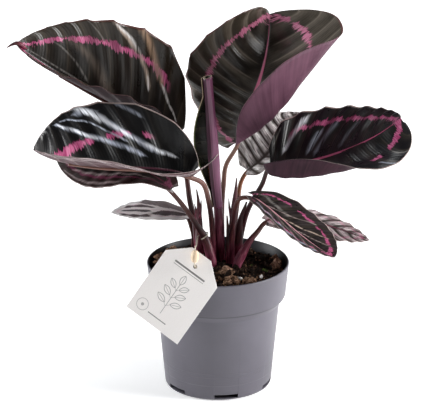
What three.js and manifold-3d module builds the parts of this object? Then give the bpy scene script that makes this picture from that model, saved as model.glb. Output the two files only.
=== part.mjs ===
// Potted rose painted calathea: a nursery pot of soil, ten patterned leaves on their stalks,
// two young shoots, and a paper tag tied on with string.
// Millimetres, +Z up. The origin is the centre of the pot's base, and -Y is the front.

import * as THREE from 'three';
import { mergeVertices } from 'three/addons/utils/BufferGeometryUtils.js';
import Module from 'manifold-3d';

const wasm = await Module();
wasm.setup();

// Clearance between pieces that rest against each other
const CLEARANCE = 0.3;

// Edges shorter than this, left by a join, are taken out
const SMALLEST_EDGE = 0.02;

// Pot: radii and heights of its outside, from the base up to the rim
const POT_HEIGHT = 109;
const POT_WALL = 1.5;
const POT_FLOOR = 1.8;
const RIM_RADIUS = 60;
const RIM_FOOT_RADIUS = 57.2;
const RIM_FOOT_HEIGHT = 81;
const NECK_RADIUS = 52;
const NECK_HEIGHT = 73.5;
const BASE_RADIUS = 45.2;
const BASE_CORNER = 2.5;
const RIM_FOOT_ROUND = 1.8;
const LIP_ROUND = 0.8;
const POT_SEGMENTS = 48;

// Drain slots through the bottom corner of the pot
const DRAIN_SLOTS = 6;
const DRAIN_WIDTH = 20;
const DRAIN_BOTTOM = 2;
const DRAIN_TOP = 5.4;
const DRAIN_TURN = 9;

// Soil
const SOIL_LEVEL = 104;
const SOIL_LOWEST = 96;
const SOIL_EDGE_DROP = 1.5;
const SOIL_SLOPE = 2.5;
const SOIL_CLODS = 1.2;
const SOIL_RINGS = 7;
const SOIL_SEGMENTS = 32;

// Leaf blades
const BLADE = 0.8;
const VEIN_SWEEP = 0.85;
const PLEAT_DEPTH = 1.3;
const STATIONS_PER_PLEAT = 2;
const FIRST_VEIN = 0.01;
const LAST_VEIN = 0.997;
const EAR_SPAN = 0.25;
const MIDRIB_SHARES = [0, 0.15, 0.35, 0.55, 0.75];
const MIDRIB_RISE = 0.15;
const STALK_SIDES = 7;

// Tag: the card leans on the rim, and its string runs from a stalk through the bead and the card
const CARD_WIDTH = 53;
const CARD_HEIGHT = 73;
const CARD_CORNER_ACROSS = 17;
const CARD_CORNER_DOWN = 15;
const CARD_THICKNESS = 0.8;
const CARD_CENTRE = [-34.1, -55.8, 104.7];
const CARD_LEAN = 16;
const CARD_TURN = 12;
const CARD_ROLL = 32;
const CARD_HOLE = [1.6, 25];
const CARD_HOLE_RADIUS = 1.8;
const BEAD_PLACE = [-3, 32.5];
const BEAD_RADIUS = 3.5;
const BEAD_HEIGHT = 10;
const BEAD_END_RADIUS = 1.6;
const BEAD_BORE = 1;
const KNOT_RADIUS = 2.1;
const STRING_DIAMETER = 1;
const STRING_STEPS = 44;
const STRING_ROUTE = [
  [-14.1, -1.1, 128.8], [-11.7, -1.7, 130.4], [-9.5, -0.4, 131.9], [-8.5, 2.2, 132.8],
  [-9.2, 5.1, 132.9], [-11.3, 7, 132.1], [-14, 7.2, 130.8], [-16.2, 5.6, 129.7],
  [-17, 2.8, 129.3], [-17.4, -5, 129.8], [-17.7, -18, 131.8], [-18, -30, 134.4],
  [-18.2, -40, 137.2], [-18.4, -48, 140.4], [-18.5, -51.5, 141.3], [-18.6, -53.3, 139.9],
  [-18.7, -53.9, 137.7], [-18.9, -54.9, 133.9], [-19.1, -56, 130], [-19.2, -56.3, 127.9],
  [-19.1, -55.6, 125.6], [-18.8, -54.3, 124.5], [-18.6, -53, 124.2],
];

const COLOURS = {
  pot: [0x6d6a72, 0.45],
  soil: [0x2b1d15, 0.95],
  face: [0x2a2522, 0.35],
  stalk: [0x4a2730, 0.5],
  underside: [0x76445f, 0.5],
  shoot: [0x6d3a48, 0.5],
  card: [0xd9d3cc, 0.85],
  wood: [0xe3c69c, 0.6],
  string: [0xd8cfc2, 0.9],
};

const LEAVES = {
  leaf_upper_left: {
    midrib: [[-34, 51, 204], [-68, 46, 223], [-119, 33, 254.5], [-167, 15, 295]],
    face: [[0.3, -0.25, 0.95]],
    left: { width: 52, lift: [28, 35, 10], curl: [10, 10, 8] },
    right: { width: 68, lift: [37, 60, 44], curl: [5, 17, 13], base: 0.85 },
    widest: 0.46, base: 0.47, tip: 0.77, pleats: 9, columns: 8,
    stalk: [[-17, 23, 84], [-17, 23, 104], [-19.5, 22, 134], [-24, 23, 156], [-27, 29, 177]],
    radii: [2.4, 2.9, 2.6, 2.2, 2.1],
    drip: [[-158, 18.5, 289.5], [-166, 15, 295.5], [-170, 13, 295], [-174, 11, 293]],
    dripRadii: [0.5, 2.4, 1.4, 0.4],
  },
  leaf_middle_left: {
    midrib: [[-21, -8, 187.5], [-62.5, -21, 198.5], [-110.5, -37, 206.5], [-150, -51, 225]],
    face: [[0, -0.15, 1]],
    left: { width: 36, lift: [-26, 25, 19], curl: [7, 9, 14], ear: [25, -6, 32] },
    right: { width: 55, lift: [73, 50, 36], curl: [20, 9, 5], base: 0.67 },
    widest: 0.49, base: 0.44, tip: 0.49, pleats: 8, columns: 8,
    stalk: [[-2.6, 10.4, 84], [-3.6, 9.8, 105], [-4.8, 7.8, 134], [-7.5, 2, 160], [-12.5, -3, 179]],
    radii: [2.4, 2.5, 2.4, 2.2, 2.1],
  },
  leaf_lower_left: {
    midrib: [[-38, 0, 172], [-68, 6, 190], [-100, 10, 194], [-135, 12, 196]],
    face: [[0, -0.1, 1]],
    left: { width: 34, lift: [24, 0, -15], curl: [0, -20, -20] },
    right: { width: 32, lift: [15, 15, 15], curl: [0, 0, 0] },
    widest: 0.55, base: 0.5, tip: 0.7, pleats: 8, columns: 6,
    stalk: [[-4, 2, 84], [-5, 2, 104], [-10, 3, 126], [-18.5, 2, 141.5], [-28.5, 1, 157]],
    radii: [3.8, 4.6, 4, 2.5, 2.1],
  },
  leaf_small_left: {
    midrib: [[-26, 24, 142], [-47, 20, 147], [-68, 15, 149], [-90, 10, 149]],
    face: [[0, -0.1, 1]],
    left: { width: 18, lift: [0, -2, -5], curl: [0, 0, 0] },
    right: { width: 17, lift: [5, 5, 5], curl: [0, 0, 0] },
    widest: 0.42, base: 0.5, tip: 0.85, pleats: 6, columns: 6, waves: 0.9,
    stalk: [[-21, 27.5, 84], [-21, 27, 104], [-21, 26, 120], [-23, 25, 131]],
    radii: [2, 2, 1.8, 1.6],
  },
  leaf_tall: {
    midrib: [[16, 15, 208], [24, 30, 230.5], [36.5, 50, 258], [44, 90, 300.5]],
    face: [[-0.2, -0.95, 0.3], [-0.05, -0.85, 0.45], [0.1, -0.75, 0.65]],
    left: { width: 64, lift: [-26, -12, 59], curl: [-25, -14, 18], base: 0.66 },
    right: { width: 110, lift: [-40, 47, 32], curl: [176, 63, 147], fold: [0.28, 0.38, 1.72], span: 0.25 },
    widest: 0.52, base: 1.24, tip: 0.5, pleats: 9, columns: 12,
    stalk: [[4, 25, 84], [3.5, 24, 110], [3.4, 23, 151], [4.7, 21, 170], [6.7, 18, 188]],
    radii: [2.4, 2.4, 2.3, 2.2, 2.1],
  },
  leaf_back: {
    midrib: [[24, 30, 179], [41, 36, 191], [56, 46, 207], [68, 60, 222]],
    face: [[-0.5, -0.6, 0.6]],
    left: { width: 36, lift: [10, 10, 10], curl: [10, 10, 10] },
    right: { width: 24, lift: [20, 15, 10], curl: [10, 10, 10] },
    widest: 0.5, base: 0.6, tip: 0.85, pleats: 8, columns: 6,
    stalk: [[13, 25, 84], [13.5, 25.5, 105], [14.5, 26, 132], [17, 28, 154], [19.5, 30, 169]],
    radii: [2.3, 2.4, 2.2, 2, 2],
  },
  leaf_right: {
    midrib: [[42.5, -5, 195], [70, -12, 200.5], [111, -22, 217.5], [149, -36, 247.5]],
    face: [[0, -0.2, 1]],
    left: { width: 51.5, lift: [39, 20, 6], curl: [18, 8, 5], tip: 0.77 },
    right: { width: 43, lift: [-14, -20, -61], curl: [117, 107, -30], fold: [0.35, 0.36, 0.28], span: 0.4 },
    widest: 0.51, base: 0.46, tip: 0.35, pleats: 9, columns: 10,
    stalk: [[16, 17.5, 84], [17, 16, 108], [21, 11, 136], [26, 5, 155], [37, -2, 178.5]],
    radii: [2.6, 2.6, 2.4, 2.2, 2.1],
    sheath: [[16, 17, 92], [17.5, 13, 122], [19.5, 9.5, 143], [24, 5, 160]],
    sheathRadii: [2.8, 4, 3.2, 0.7],
  },
  leaf_lower_right: {
    midrib: [[28, -12, 171], [47, -22, 160], [70, -38, 145], [96, -55, 133]],
    face: [[0.35, -0.35, 0.9]],
    left: { width: 26, lift: [12, 12, 12], curl: [0, 0, 0], ear: [-9, -2, -2] },
    right: { width: 18, lift: [18, 18, 18], curl: [0, 0, 0], tip: 0.75 },
    widest: 0.6, base: 0.38, tip: 0.6, pleats: 8, columns: 6, waves: 1,
    stalk: [[10, 9, 84], [11, 8.5, 105], [12, 7, 127], [13, 2, 145], [15, -4, 160], [18.5, -8.5, 168]],
    radii: [3, 3, 2.4, 2.2, 2.1, 2],
    sheath: [[9.3, 9.2, 90], [9, 9.8, 120], [7.6, 10.4, 146]],
    sheathRadii: [2.8, 2.4, 0.6],
  },
  leaf_small_right: {
    midrib: [[40, 5, 143], [69, 12, 142], [100, 12, 134], [128, 10, 124]],
    face: [[0.3, -0.3, 0.9]],
    left: { width: 14, lift: [5, 5, 5], curl: [0, 0, 0] },
    right: { width: 20, lift: [5, 5, 5], curl: [0, 0, 0] },
    widest: 0.5, base: 0.5, tip: 0.85, pleats: 7, columns: 6, waves: 0.9,
    stalk: [[14, 1, 84], [16, 1.5, 104], [21, 2, 116], [27, 3.5, 126], [33, 5, 133]],
    radii: [3.3, 3.9, 4.1, 2.6, 2],
  },
};

// Rolled leaf: its axis from foot to top, and the outer radius of the roll along it
const ROLL_AXIS = [[0, 11, 153], [-3.5, 5, 193], [-6, 0, 232], [-9, -4, 272]];
const ROLL_RADII = [4.5, 5.4, 5.8, 5.4, 4.8, 4.6];
const ROLL_STALK = [[2.6, 17, 84], [1.9, 15.8, 105], [1.2, 13.6, 134]];
const ROLL_STALK_RADII = [3.4, 4.2, 4.3, 4.3, 3.6, 1.2];
const ROLL_STALK_REACH = [0, 0.08, 0.16];
const ROLL_ROWS = 12;
const ROLL_COLUMNS = 24;
const ROLL_START = 180;
const ROLL_TURN = 420;
const ROLL_PITCH = 1.6;
const ROLL_FLAP = 9.7;
const ROLL_FLAP_FOOT = 0.12;
const ROLL_FLAP_TOP = 0.86;
const ROLL_FLAP_SPAN = 0.22;
const ROLL_SLANT = 1;

const SHOOTS = {
  shoot_left: {
    path: [[-15, 12, 84], [-15.8, 12.8, 110], [-15.8, 14, 141], [-16.6, 14, 158], [-18, 14, 168]],
    radii: [3.2, 3.9, 3.5, 2.2, 0.5],
  },
  shoot_centre: {
    path: [
      [9.4, 17.5, 84], [10, 17, 105], [11, 15.7, 125], [13, 12.6, 150], [15, 10, 170], [15.6, 8.5, 180],
    ],
    radii: [2.4, 2.6, 2.6, 2.5, 2, 0.5],
  },
};

// Value of a curve through its base, middle and tip values
function between([base, middle, tip], a) {
  return base * (1 - a) * (1 - 2 * a) + 4 * middle * a * (1 - a) + tip * a * (2 * a - 1);
}

// Point of the cubic that passes through four points at equal steps
function cubic(points, t) {
  const weights = [
    -4.5 * (t - 1 / 3) * (t - 2 / 3) * (t - 1),
    13.5 * t * (t - 2 / 3) * (t - 1),
    -13.5 * t * (t - 1 / 3) * (t - 1),
    4.5 * t * (t - 1 / 3) * (t - 2 / 3),
  ];
  const sum = new THREE.Vector3();
  points.forEach((point, i) => sum.addScaledVector(new THREE.Vector3(...point), weights[i]));
  return sum;
}

// Direction of the midrib, its side and its upper face at a share of its length
function frameAt(leaf, a) {
  const step = 1e-4;
  const along = cubic(leaf.midrib, a + step).sub(cubic(leaf.midrib, a - step)).normalize();
  const faces = leaf.face.length === 1 ? [leaf.face[0], leaf.face[0], leaf.face[0]] : leaf.face;
  const up = new THREE.Vector3(...[0, 1, 2].map((axis) => between(faces.map((f) => f[axis]), a)));
  up.addScaledVector(along, -up.dot(along)).normalize();
  return { along, up, side: new THREE.Vector3().crossVectors(along, up) };
}

// Share of the half width that the blade has at a share of its length
function fullness(leaf, half, a) {
  const { widest, base, tip } = leaf;
  if (a < widest) return Math.max(0, 1 - ((widest - a) / widest) ** 2) ** (half.base ?? base);
  const x = Math.min(1, (a - widest) / (1 - widest));
  return Math.max(0, 1 - x ** 2.2) ** (half.tip ?? tip);
}

// Place across a half, as width, height and slope: straight, then curled, then straight again
function section(half, a, u, width) {
  const lift = THREE.MathUtils.degToRad(between(half.lift, a));
  const curl = THREE.MathUtils.degToRad(between(half.curl, a)) || 1e-3;
  const start = between(half.fold ?? [0, 0, 0], a);
  const span = half.span ?? 1;
  const before = Math.min(u, start);
  const turned = Math.min(Math.max(u - start, 0), span);
  const after = Math.max(u - start - span, 0);
  const slope = lift + curl * turned / span;
  const bend = span / curl;
  const last = lift + curl;
  const out = before * Math.cos(lift) + bend * (Math.sin(slope) - Math.sin(lift)) + after * Math.cos(last);
  const rise = before * Math.sin(lift) + bend * (Math.cos(lift) - Math.cos(slope)) + after * Math.sin(last);
  return { out: width * out, rise: width * rise, slope };
}

// Point of a blade: v counts the veins from base to tip, s runs from the left margin to the right one
function bladePoint(leaf, v, s) {
  const u = Math.abs(s);
  const right = s >= 0;
  const half = right ? leaf.right : leaf.left;
  const a = v + VEIN_SWEEP * u ** 1.4 * v * (1 - v);
  const { along, up, side } = frameAt(leaf, a);
  if (!right) side.negate();
  const width = fullness(leaf, half, a) * half.width;
  const { out, rise, slope } = section(half, a, u, width);
  const outward = up.clone().multiplyScalar(Math.cos(slope)).addScaledVector(side, -Math.sin(slope));
  const rippled = Math.min(1, u / 0.5) ** 1.2 * Math.min(1, 1.3 * fullness(leaf, half, a));
  const ripple = (leaf.waves ?? PLEAT_DEPTH) * rippled * Math.cos(2 * Math.PI * leaf.pleats * v);
  const ear = half.ear ? new THREE.Vector3(...half.ear) : along.clone().multiplyScalar(-4);
  return cubic(leaf.midrib, a)
    .addScaledVector(side, out)
    .addScaledVector(up, rise)
    .addScaledVector(outward, ripple)
    .addScaledVector(ear, u * u * Math.max(0, 1 - v / EAR_SPAN) ** 2);
}

// Closed sheet of one thickness around a grid of points, cut into triangles alike on both faces
function sheet(grid, thickness) {
  const rows = grid.length;
  const columns = grid[0].length;
  const at = (i, j) => grid[Math.min(Math.max(i, 0), rows - 1)][Math.min(Math.max(j, 0), columns - 1)];
  const points = [];
  for (const facing of [1, -1]) {
    for (let i = 0; i < rows; i++) {
      for (let j = 0; j < columns; j++) {
        const across = at(i, j + 1).clone().sub(at(i, j - 1));
        const along = at(i + 1, j).clone().sub(at(i - 1, j));
        const normal = across.cross(along).normalize();
        points.push(grid[i][j].clone().addScaledVector(normal, facing * thickness / 2));
      }
    }
  }
  const upper = (i, j) => i * columns + j;
  const lower = (i, j) => rows * columns + upper(i, j);
  const faces = [];
  for (let i = 0; i < rows - 1; i++) {
    for (let j = 0; j < columns - 1; j++) {
      const corners = [[i, j], [i, j + 1], [i + 1, j + 1], [i + 1, j]];
      const [a, b, c, d] = corners.map(([r, k]) => upper(r, k));
      const [e, f, g, h] = corners.map(([r, k]) => lower(r, k));
      faces.push([a, b, c], [a, c, d], [e, g, f], [e, h, g]);
    }
  }
  const border = [];
  for (let j = 0; j < columns - 1; j++) border.push([0, j]);
  for (let i = 0; i < rows - 1; i++) border.push([i, columns - 1]);
  for (let j = columns - 1; j > 0; j--) border.push([rows - 1, j]);
  for (let i = rows - 1; i > 0; i--) border.push([i, 0]);
  border.forEach((here, k) => {
    const next = border[(k + 1) % border.length];
    faces.push([lower(...here), lower(...next), upper(...next)]);
    faces.push([lower(...here), upper(...next), upper(...here)]);
  });
  return solidOf(points, faces);
}

// Tapered round stem along a smooth curve; grow widens it and sinks its foot, for the hole it stands in
function stem(path, radii, { sides = STALK_SIDES, steps = 20, grow = 0 } = {}) {
  const ends = path.map((point) => new THREE.Vector3(...point));
  if (grow > 0) ends[0].addScaledVector(ends[1].clone().sub(ends[0]).normalize(), -grow);
  const curve = new THREE.CatmullRomCurve3(ends, false, 'centripetal');
  const frames = curve.computeFrenetFrames(steps, false);
  const points = [];
  for (let i = 0; i <= steps; i++) {
    const centre = curve.getPointAt(i / steps);
    const place = curve.getUtoTmapping(i / steps) * (radii.length - 1);
    const k = Math.min(Math.floor(place), radii.length - 2);
    const radius = THREE.MathUtils.lerp(radii[k], radii[k + 1], place - k) + grow;
    for (let j = 0; j < sides; j++) {
      const angle = 2 * Math.PI * j / sides;
      points.push(centre.clone()
        .addScaledVector(frames.normals[i], radius * Math.cos(angle))
        .addScaledVector(frames.binormals[i], radius * Math.sin(angle)));
    }
  }
  const faces = [];
  for (let i = 0; i < steps; i++) {
    for (let j = 0; j < sides; j++) {
      const a = i * sides + j;
      const b = i * sides + (j + 1) % sides;
      faces.push([a, b, b + sides], [a, b + sides, a + sides]);
    }
  }
  const last = steps * sides;
  for (let j = 1; j < sides - 1; j++) faces.push([0, j + 1, j], [last, last + j, last + j + 1]);
  return solidOf(points, faces);
}

function solidOf(points, faces) {
  return new wasm.Manifold(new wasm.Mesh({
    numProp: 3,
    vertProperties: new Float32Array(points.flatMap((point) => point.toArray())),
    triVerts: new Uint32Array(faces.flat()),
  }));
}

function solidFrom(geometry) {
  const bare = geometry.clone();
  bare.deleteAttribute('normal');
  bare.deleteAttribute('uv');
  const merged = mergeVertices(bare.index ? bare.toNonIndexed() : bare, 1e-4);
  const { position } = merged.attributes;
  return new wasm.Manifold(new wasm.Mesh({
    numProp: 3,
    vertProperties: new Float32Array(position.array),
    triVerts: new Uint32Array(merged.index.array),
  }));
}

function geometryOf(solid) {
  const mesh = solid.simplify(SMALLEST_EDGE).getMesh();
  const geometry = new THREE.BufferGeometry();
  geometry.setAttribute('position', new THREE.BufferAttribute(new Float32Array(mesh.vertProperties), 3));
  geometry.setIndex(new THREE.BufferAttribute(new Uint32Array(mesh.triVerts), 1));
  return geometry;
}

// Midrib under the blade, as the stalk's last stretch
function midribPath(leaf) {
  return MIDRIB_SHARES.map((a) => {
    const radius = THREE.MathUtils.lerp(2, 0.8, a);
    return cubic(leaf.midrib, a).addScaledVector(frameAt(leaf, a).up, MIDRIB_RISE - radius).toArray();
  });
}

function stems(leaf, grow) {
  const path = [...leaf.stalk, ...midribPath(leaf)];
  const radii = [...leaf.radii, 1.9, 1.7, 1.3, 1, 0.7];
  const parts = [stem(path, radii, { grow })];
  if (leaf.sheath) parts.push(stem(leaf.sheath, leaf.sheathRadii, { steps: 8, grow }));
  if (leaf.drip) parts.push(stem(leaf.drip, leaf.dripRadii, { steps: 6, grow }));
  return parts;
}

function leafSolid(leaf) {
  const rows = leaf.pleats * STATIONS_PER_PLEAT;
  const grid = [];
  for (let i = 0; i <= rows; i++) {
    const v = THREE.MathUtils.lerp(FIRST_VEIN, LAST_VEIN, i / rows);
    const line = [];
    for (let j = 0; j <= leaf.columns; j++) line.push(bladePoint(leaf, v, -1 + 2 * j / leaf.columns));
    grid.push(line);
  }
  return wasm.Manifold.union([sheet(grid, BLADE), ...stems(leaf, 0)]);
}

// Value along a list of even steps
function alongList(values, t) {
  const place = t * (values.length - 1);
  const k = Math.min(Math.floor(place), values.length - 2);
  return THREE.MathUtils.lerp(values[k], values[k + 1], place - k);
}

// Point of the rolled blade: t runs up the roll, w from the free outer margin to the inner one
function rollPoint(t, w) {
  const angle = THREE.MathUtils.degToRad(ROLL_START - ROLL_TURN * w);
  const height = THREE.MathUtils.clamp((t - ROLL_FLAP_FOOT) / (ROLL_FLAP_TOP - ROLL_FLAP_FOOT), 0, 1);
  const open = Math.sin(Math.PI * height ** 1.1);
  const flap = ROLL_FLAP * open * Math.max(0, 1 - w / ROLL_FLAP_SPAN) ** 2;
  const radius = alongList(ROLL_RADII, t) - ROLL_PITCH * w * ROLL_TURN / 360 + flap;
  const slant = ROLL_SLANT * t ** 6 * Math.cos(angle);
  const offset = new THREE.Vector3(radius * Math.cos(angle), radius * Math.sin(angle), slant);
  return cubic(ROLL_AXIS, t).add(offset);
}

function rollStem(grow) {
  const inside = ROLL_STALK_REACH.map((t) => cubic(ROLL_AXIS, t).toArray());
  return stem([...ROLL_STALK, ...inside], ROLL_STALK_RADII, { sides: 9, steps: 9, grow });
}

function rolledLeaf() {
  const grid = [];
  for (let i = 0; i <= ROLL_ROWS; i++) {
    const line = [];
    for (let j = 0; j <= ROLL_COLUMNS; j++) line.push(rollPoint(i / ROLL_ROWS, j / ROLL_COLUMNS));
    grid.push(line);
  }
  return sheet(grid, BLADE).add(rollStem(0));
}

// Outside of the pot from the middle of its base up to the rim, as radius and height
function potOutside() {
  return [
    [BASE_RADIUS - BASE_CORNER, 0],
    [BASE_RADIUS - BASE_CORNER / 3, BASE_CORNER / 3],
    [BASE_RADIUS, BASE_CORNER],
    [NECK_RADIUS, NECK_HEIGHT],
    [NECK_RADIUS + RIM_FOOT_ROUND / 2, NECK_HEIGHT + RIM_FOOT_ROUND],
    [RIM_FOOT_RADIUS - RIM_FOOT_ROUND / 2, RIM_FOOT_HEIGHT - RIM_FOOT_ROUND],
    [RIM_FOOT_RADIUS, RIM_FOOT_HEIGHT],
    [RIM_RADIUS, POT_HEIGHT - LIP_ROUND],
    [RIM_RADIUS - LIP_ROUND / 2, POT_HEIGHT],
  ];
}

// Inside of the pot, set in by a distance, up to a height
function potInside(inset, top) {
  const wall = potOutside().slice(2, -2).map(([radius, height]) => [radius - inset, height]);
  const floor = POT_FLOOR + inset - POT_WALL;
  const foot = [[0, floor], [BASE_RADIUS - BASE_CORNER - inset, floor]];
  const share = (top - RIM_FOOT_HEIGHT) / (POT_HEIGHT - RIM_FOOT_HEIGHT);
  const mouth = [THREE.MathUtils.lerp(RIM_FOOT_RADIUS, RIM_RADIUS, share) - inset, top];
  return [...foot, ...wall, mouth];
}

function lathe(profile, segments) {
  const points = profile.map(([radius, height]) => new THREE.Vector2(radius, height));
  return new THREE.LatheGeometry(points, segments).rotateX(Math.PI / 2);
}

function potSolid() {
  const profile = [[0, 0], ...potOutside(), ...potInside(POT_WALL, POT_HEIGHT).reverse()];
  const slots = Array.from({ length: DRAIN_SLOTS }, (_, i) => {
    const slot = new THREE.BoxGeometry(DRAIN_WIDTH, 2 * BASE_CORNER + POT_WALL, DRAIN_TOP - DRAIN_BOTTOM);
    slot.translate(0, -BASE_RADIUS + 1, (DRAIN_TOP + DRAIN_BOTTOM) / 2);
    slot.rotateZ(THREE.MathUtils.degToRad(DRAIN_TURN + 360 * i / DRAIN_SLOTS));
    return solidFrom(slot);
  });
  return wasm.Manifold.difference([solidFrom(lathe(profile, POT_SEGMENTS)), ...slots]);
}

// Height of the soil: clods on a low mound that falls away to the right
function soilHeight(x, y) {
  const edge = (Math.hypot(x, y) / RIM_FOOT_RADIUS) ** 4;
  const clods = Math.sin(x / 5 + 1) * Math.cos(y / 4.3) + 0.6 * Math.sin((x + 1.7 * y) / 3.1);
  return SOIL_LEVEL - SOIL_EDGE_DROP * edge - SOIL_SLOPE * x / RIM_FOOT_RADIUS + SOIL_CLODS * clods;
}

function soilSolid(holes) {
  const side = potInside(POT_WALL + 2 * CLEARANCE, SOIL_LOWEST);
  const mouth = side[side.length - 1][0];
  const top = Array.from({ length: SOIL_RINGS }, (_, i) => {
    return [mouth * (1 - (i + 1) / SOIL_RINGS), SOIL_LOWEST + 1];
  });
  const geometry = lathe([...side, ...top], SOIL_SEGMENTS);
  const { position } = geometry.attributes;
  for (let i = 0; i < position.count; i++) {
    if (position.getZ(i) < SOIL_LOWEST - 0.01) continue;
    position.setZ(i, soilHeight(position.getX(i), position.getY(i)));
  }
  return wasm.Manifold.difference([solidFrom(geometry), ...holes]);
}

function cardSolid() {
  const [halfWidth, halfHeight] = [CARD_WIDTH / 2, CARD_HEIGHT / 2];
  const outline = new THREE.Shape([
    [-halfWidth, -halfHeight],
    [halfWidth, -halfHeight],
    [halfWidth, halfHeight - CARD_CORNER_DOWN],
    [halfWidth - CARD_CORNER_ACROSS, halfHeight],
    [-halfWidth + CARD_CORNER_ACROSS, halfHeight],
    [-halfWidth, halfHeight - CARD_CORNER_DOWN],
  ].map((corner) => new THREE.Vector2(...corner)));
  outline.holes.push(new THREE.Path().absarc(...CARD_HOLE, CARD_HOLE_RADIUS, 0, 2 * Math.PI, true));
  const options = { depth: CARD_THICKNESS, bevelEnabled: false, curveSegments: 6 };
  const card = new THREE.ExtrudeGeometry(outline, options).rotateX(Math.PI / 2);
  return solidFrom(card.translate(0, CARD_THICKNESS / 2, 0));
}

// Oval wooden bead with a bore from end to end
function beadSolid() {
  const half = BEAD_HEIGHT / 2;
  const end = Math.acos(BEAD_END_RADIUS / BEAD_RADIUS);
  const barrel = Array.from({ length: 7 }, (_, i) => {
    const angle = THREE.MathUtils.lerp(-end, end, i / 6);
    return [BEAD_RADIUS * Math.cos(angle), half * Math.sin(angle) / Math.sin(end)];
  });
  const profile = [[BEAD_BORE, -half], ...barrel, [BEAD_BORE, half], [BEAD_BORE, -half]];
  return solidFrom(lathe(profile, 14));
}

// String along its route, with eight sides
function stringSolid() {
  const route = STRING_ROUTE.map((point) => new THREE.Vector3(...point));
  const curve = new THREE.CatmullRomCurve3(route, false, 'centripetal');
  const section = new THREE.Shape(Array.from({ length: 8 }, (_, i) => {
    const angle = Math.PI * i / 4;
    return new THREE.Vector2(Math.cos(angle), Math.sin(angle)).multiplyScalar(STRING_DIAMETER / 2);
  }));
  return solidFrom(new THREE.ExtrudeGeometry(section, { steps: STRING_STEPS, extrudePath: curve }));
}

function place(name, solid, [colour, roughness], parent = group) {
  const material = new THREE.MeshStandardMaterial({ color: colour, roughness, metalness: 0 });
  const mesh = new THREE.Mesh(geometryOf(solid), material);
  mesh.name = name;
  parent.add(mesh);
  return mesh;
}

const group = new THREE.Group();
const holes = [
  ...Object.values(LEAVES).flatMap((leaf) => stems(leaf, CLEARANCE)),
  ...Object.values(SHOOTS).map(({ path, radii }) => stem(path, radii, { steps: 9, grow: CLEARANCE })),
  rollStem(CLEARANCE),
];

place('pot', potSolid(), COLOURS.pot);
place('soil', soilSolid(holes), COLOURS.soil);
for (const [name, leaf] of Object.entries(LEAVES)) place(name, leafSolid(leaf), COLOURS.face);
place('leaf_rolled', rolledLeaf(), COLOURS.underside);
for (const [name, { path, radii }] of Object.entries(SHOOTS)) {
  place(name, stem(path, radii, { steps: 9 }), COLOURS.shoot);
}

// The tag's own frame has the card's face to the front and its top up
const tag = new THREE.Group();
tag.position.set(...CARD_CENTRE);
const [lean, turn, roll] = [CARD_LEAN, CARD_TURN, CARD_ROLL].map(THREE.MathUtils.degToRad);
tag.rotation.set(-lean, roll, -turn, 'ZXY');
group.add(tag);
place('tag_card', cardSolid(), COLOURS.card, tag);
const bead = place('tag_bead', beadSolid(), COLOURS.wood, tag);
const standoff = CARD_THICKNESS / 2 + CLEARANCE;
bead.position.set(BEAD_PLACE[0], -standoff - BEAD_RADIUS, BEAD_PLACE[1]);
bead.rotation.y = -roll;
const knot = place('tag_knot', solidFrom(new THREE.SphereGeometry(KNOT_RADIUS, 10, 7)), COLOURS.string, tag);
knot.position.set(CARD_HOLE[0], standoff + KNOT_RADIUS, CARD_HOLE[1]);
place('tag_string', stringSolid(), COLOURS.string);

export default group;
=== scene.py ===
"""Finishes a potted rose painted calathea: leaves, stalks, shoots, soil, nursery pot and paper tag.

Lengths in the tables are millimetres, and meshes are built in metres. The pot's axis is +Z and the
front is -Y. Each leaf is the same formula as its solid, on a finer grid.
"""
import logging
import math
import random
from dataclasses import dataclass, field
from enum import Enum
from typing import Callable, Sequence

import bpy
import numpy as np
from mathutils import Matrix, Vector, noise

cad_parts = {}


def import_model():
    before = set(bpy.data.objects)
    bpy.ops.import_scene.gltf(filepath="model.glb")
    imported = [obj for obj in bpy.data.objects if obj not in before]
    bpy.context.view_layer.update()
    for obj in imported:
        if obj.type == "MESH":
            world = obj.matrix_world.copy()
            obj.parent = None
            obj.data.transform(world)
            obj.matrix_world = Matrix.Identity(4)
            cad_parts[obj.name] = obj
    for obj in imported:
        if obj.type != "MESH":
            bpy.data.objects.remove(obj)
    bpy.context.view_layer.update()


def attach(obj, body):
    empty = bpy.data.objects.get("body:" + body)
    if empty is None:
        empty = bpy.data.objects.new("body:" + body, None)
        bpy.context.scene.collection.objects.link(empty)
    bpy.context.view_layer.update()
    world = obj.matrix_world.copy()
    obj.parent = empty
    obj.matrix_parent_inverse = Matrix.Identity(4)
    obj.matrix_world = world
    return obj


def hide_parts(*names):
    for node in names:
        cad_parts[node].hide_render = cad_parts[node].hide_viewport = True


LOG = logging.getLogger("calathea")
MM = 0.001
UV = "UVMap"
Colour = tuple[float, float, float]
Point = tuple[float, float, float]


class Facing(Enum):
    """Sides of a blade that carry their own finish."""

    UPPER = 0
    LOWER = 1
    MARGIN = 2


def deselect() -> None:
    """Deselects every object, and leaves edit mode."""
    if bpy.context.object and bpy.context.object.mode != "OBJECT":
        bpy.ops.object.mode_set(mode="OBJECT")
    bpy.ops.object.select_all(action="DESELECT")


def activate(*pieces: bpy.types.Object) -> None:
    """Selects these pieces alone, and makes the first one active."""
    deselect()
    for piece in pieces:
        piece.select_set(True)
    bpy.context.view_layer.objects.active = pieces[0]


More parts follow.
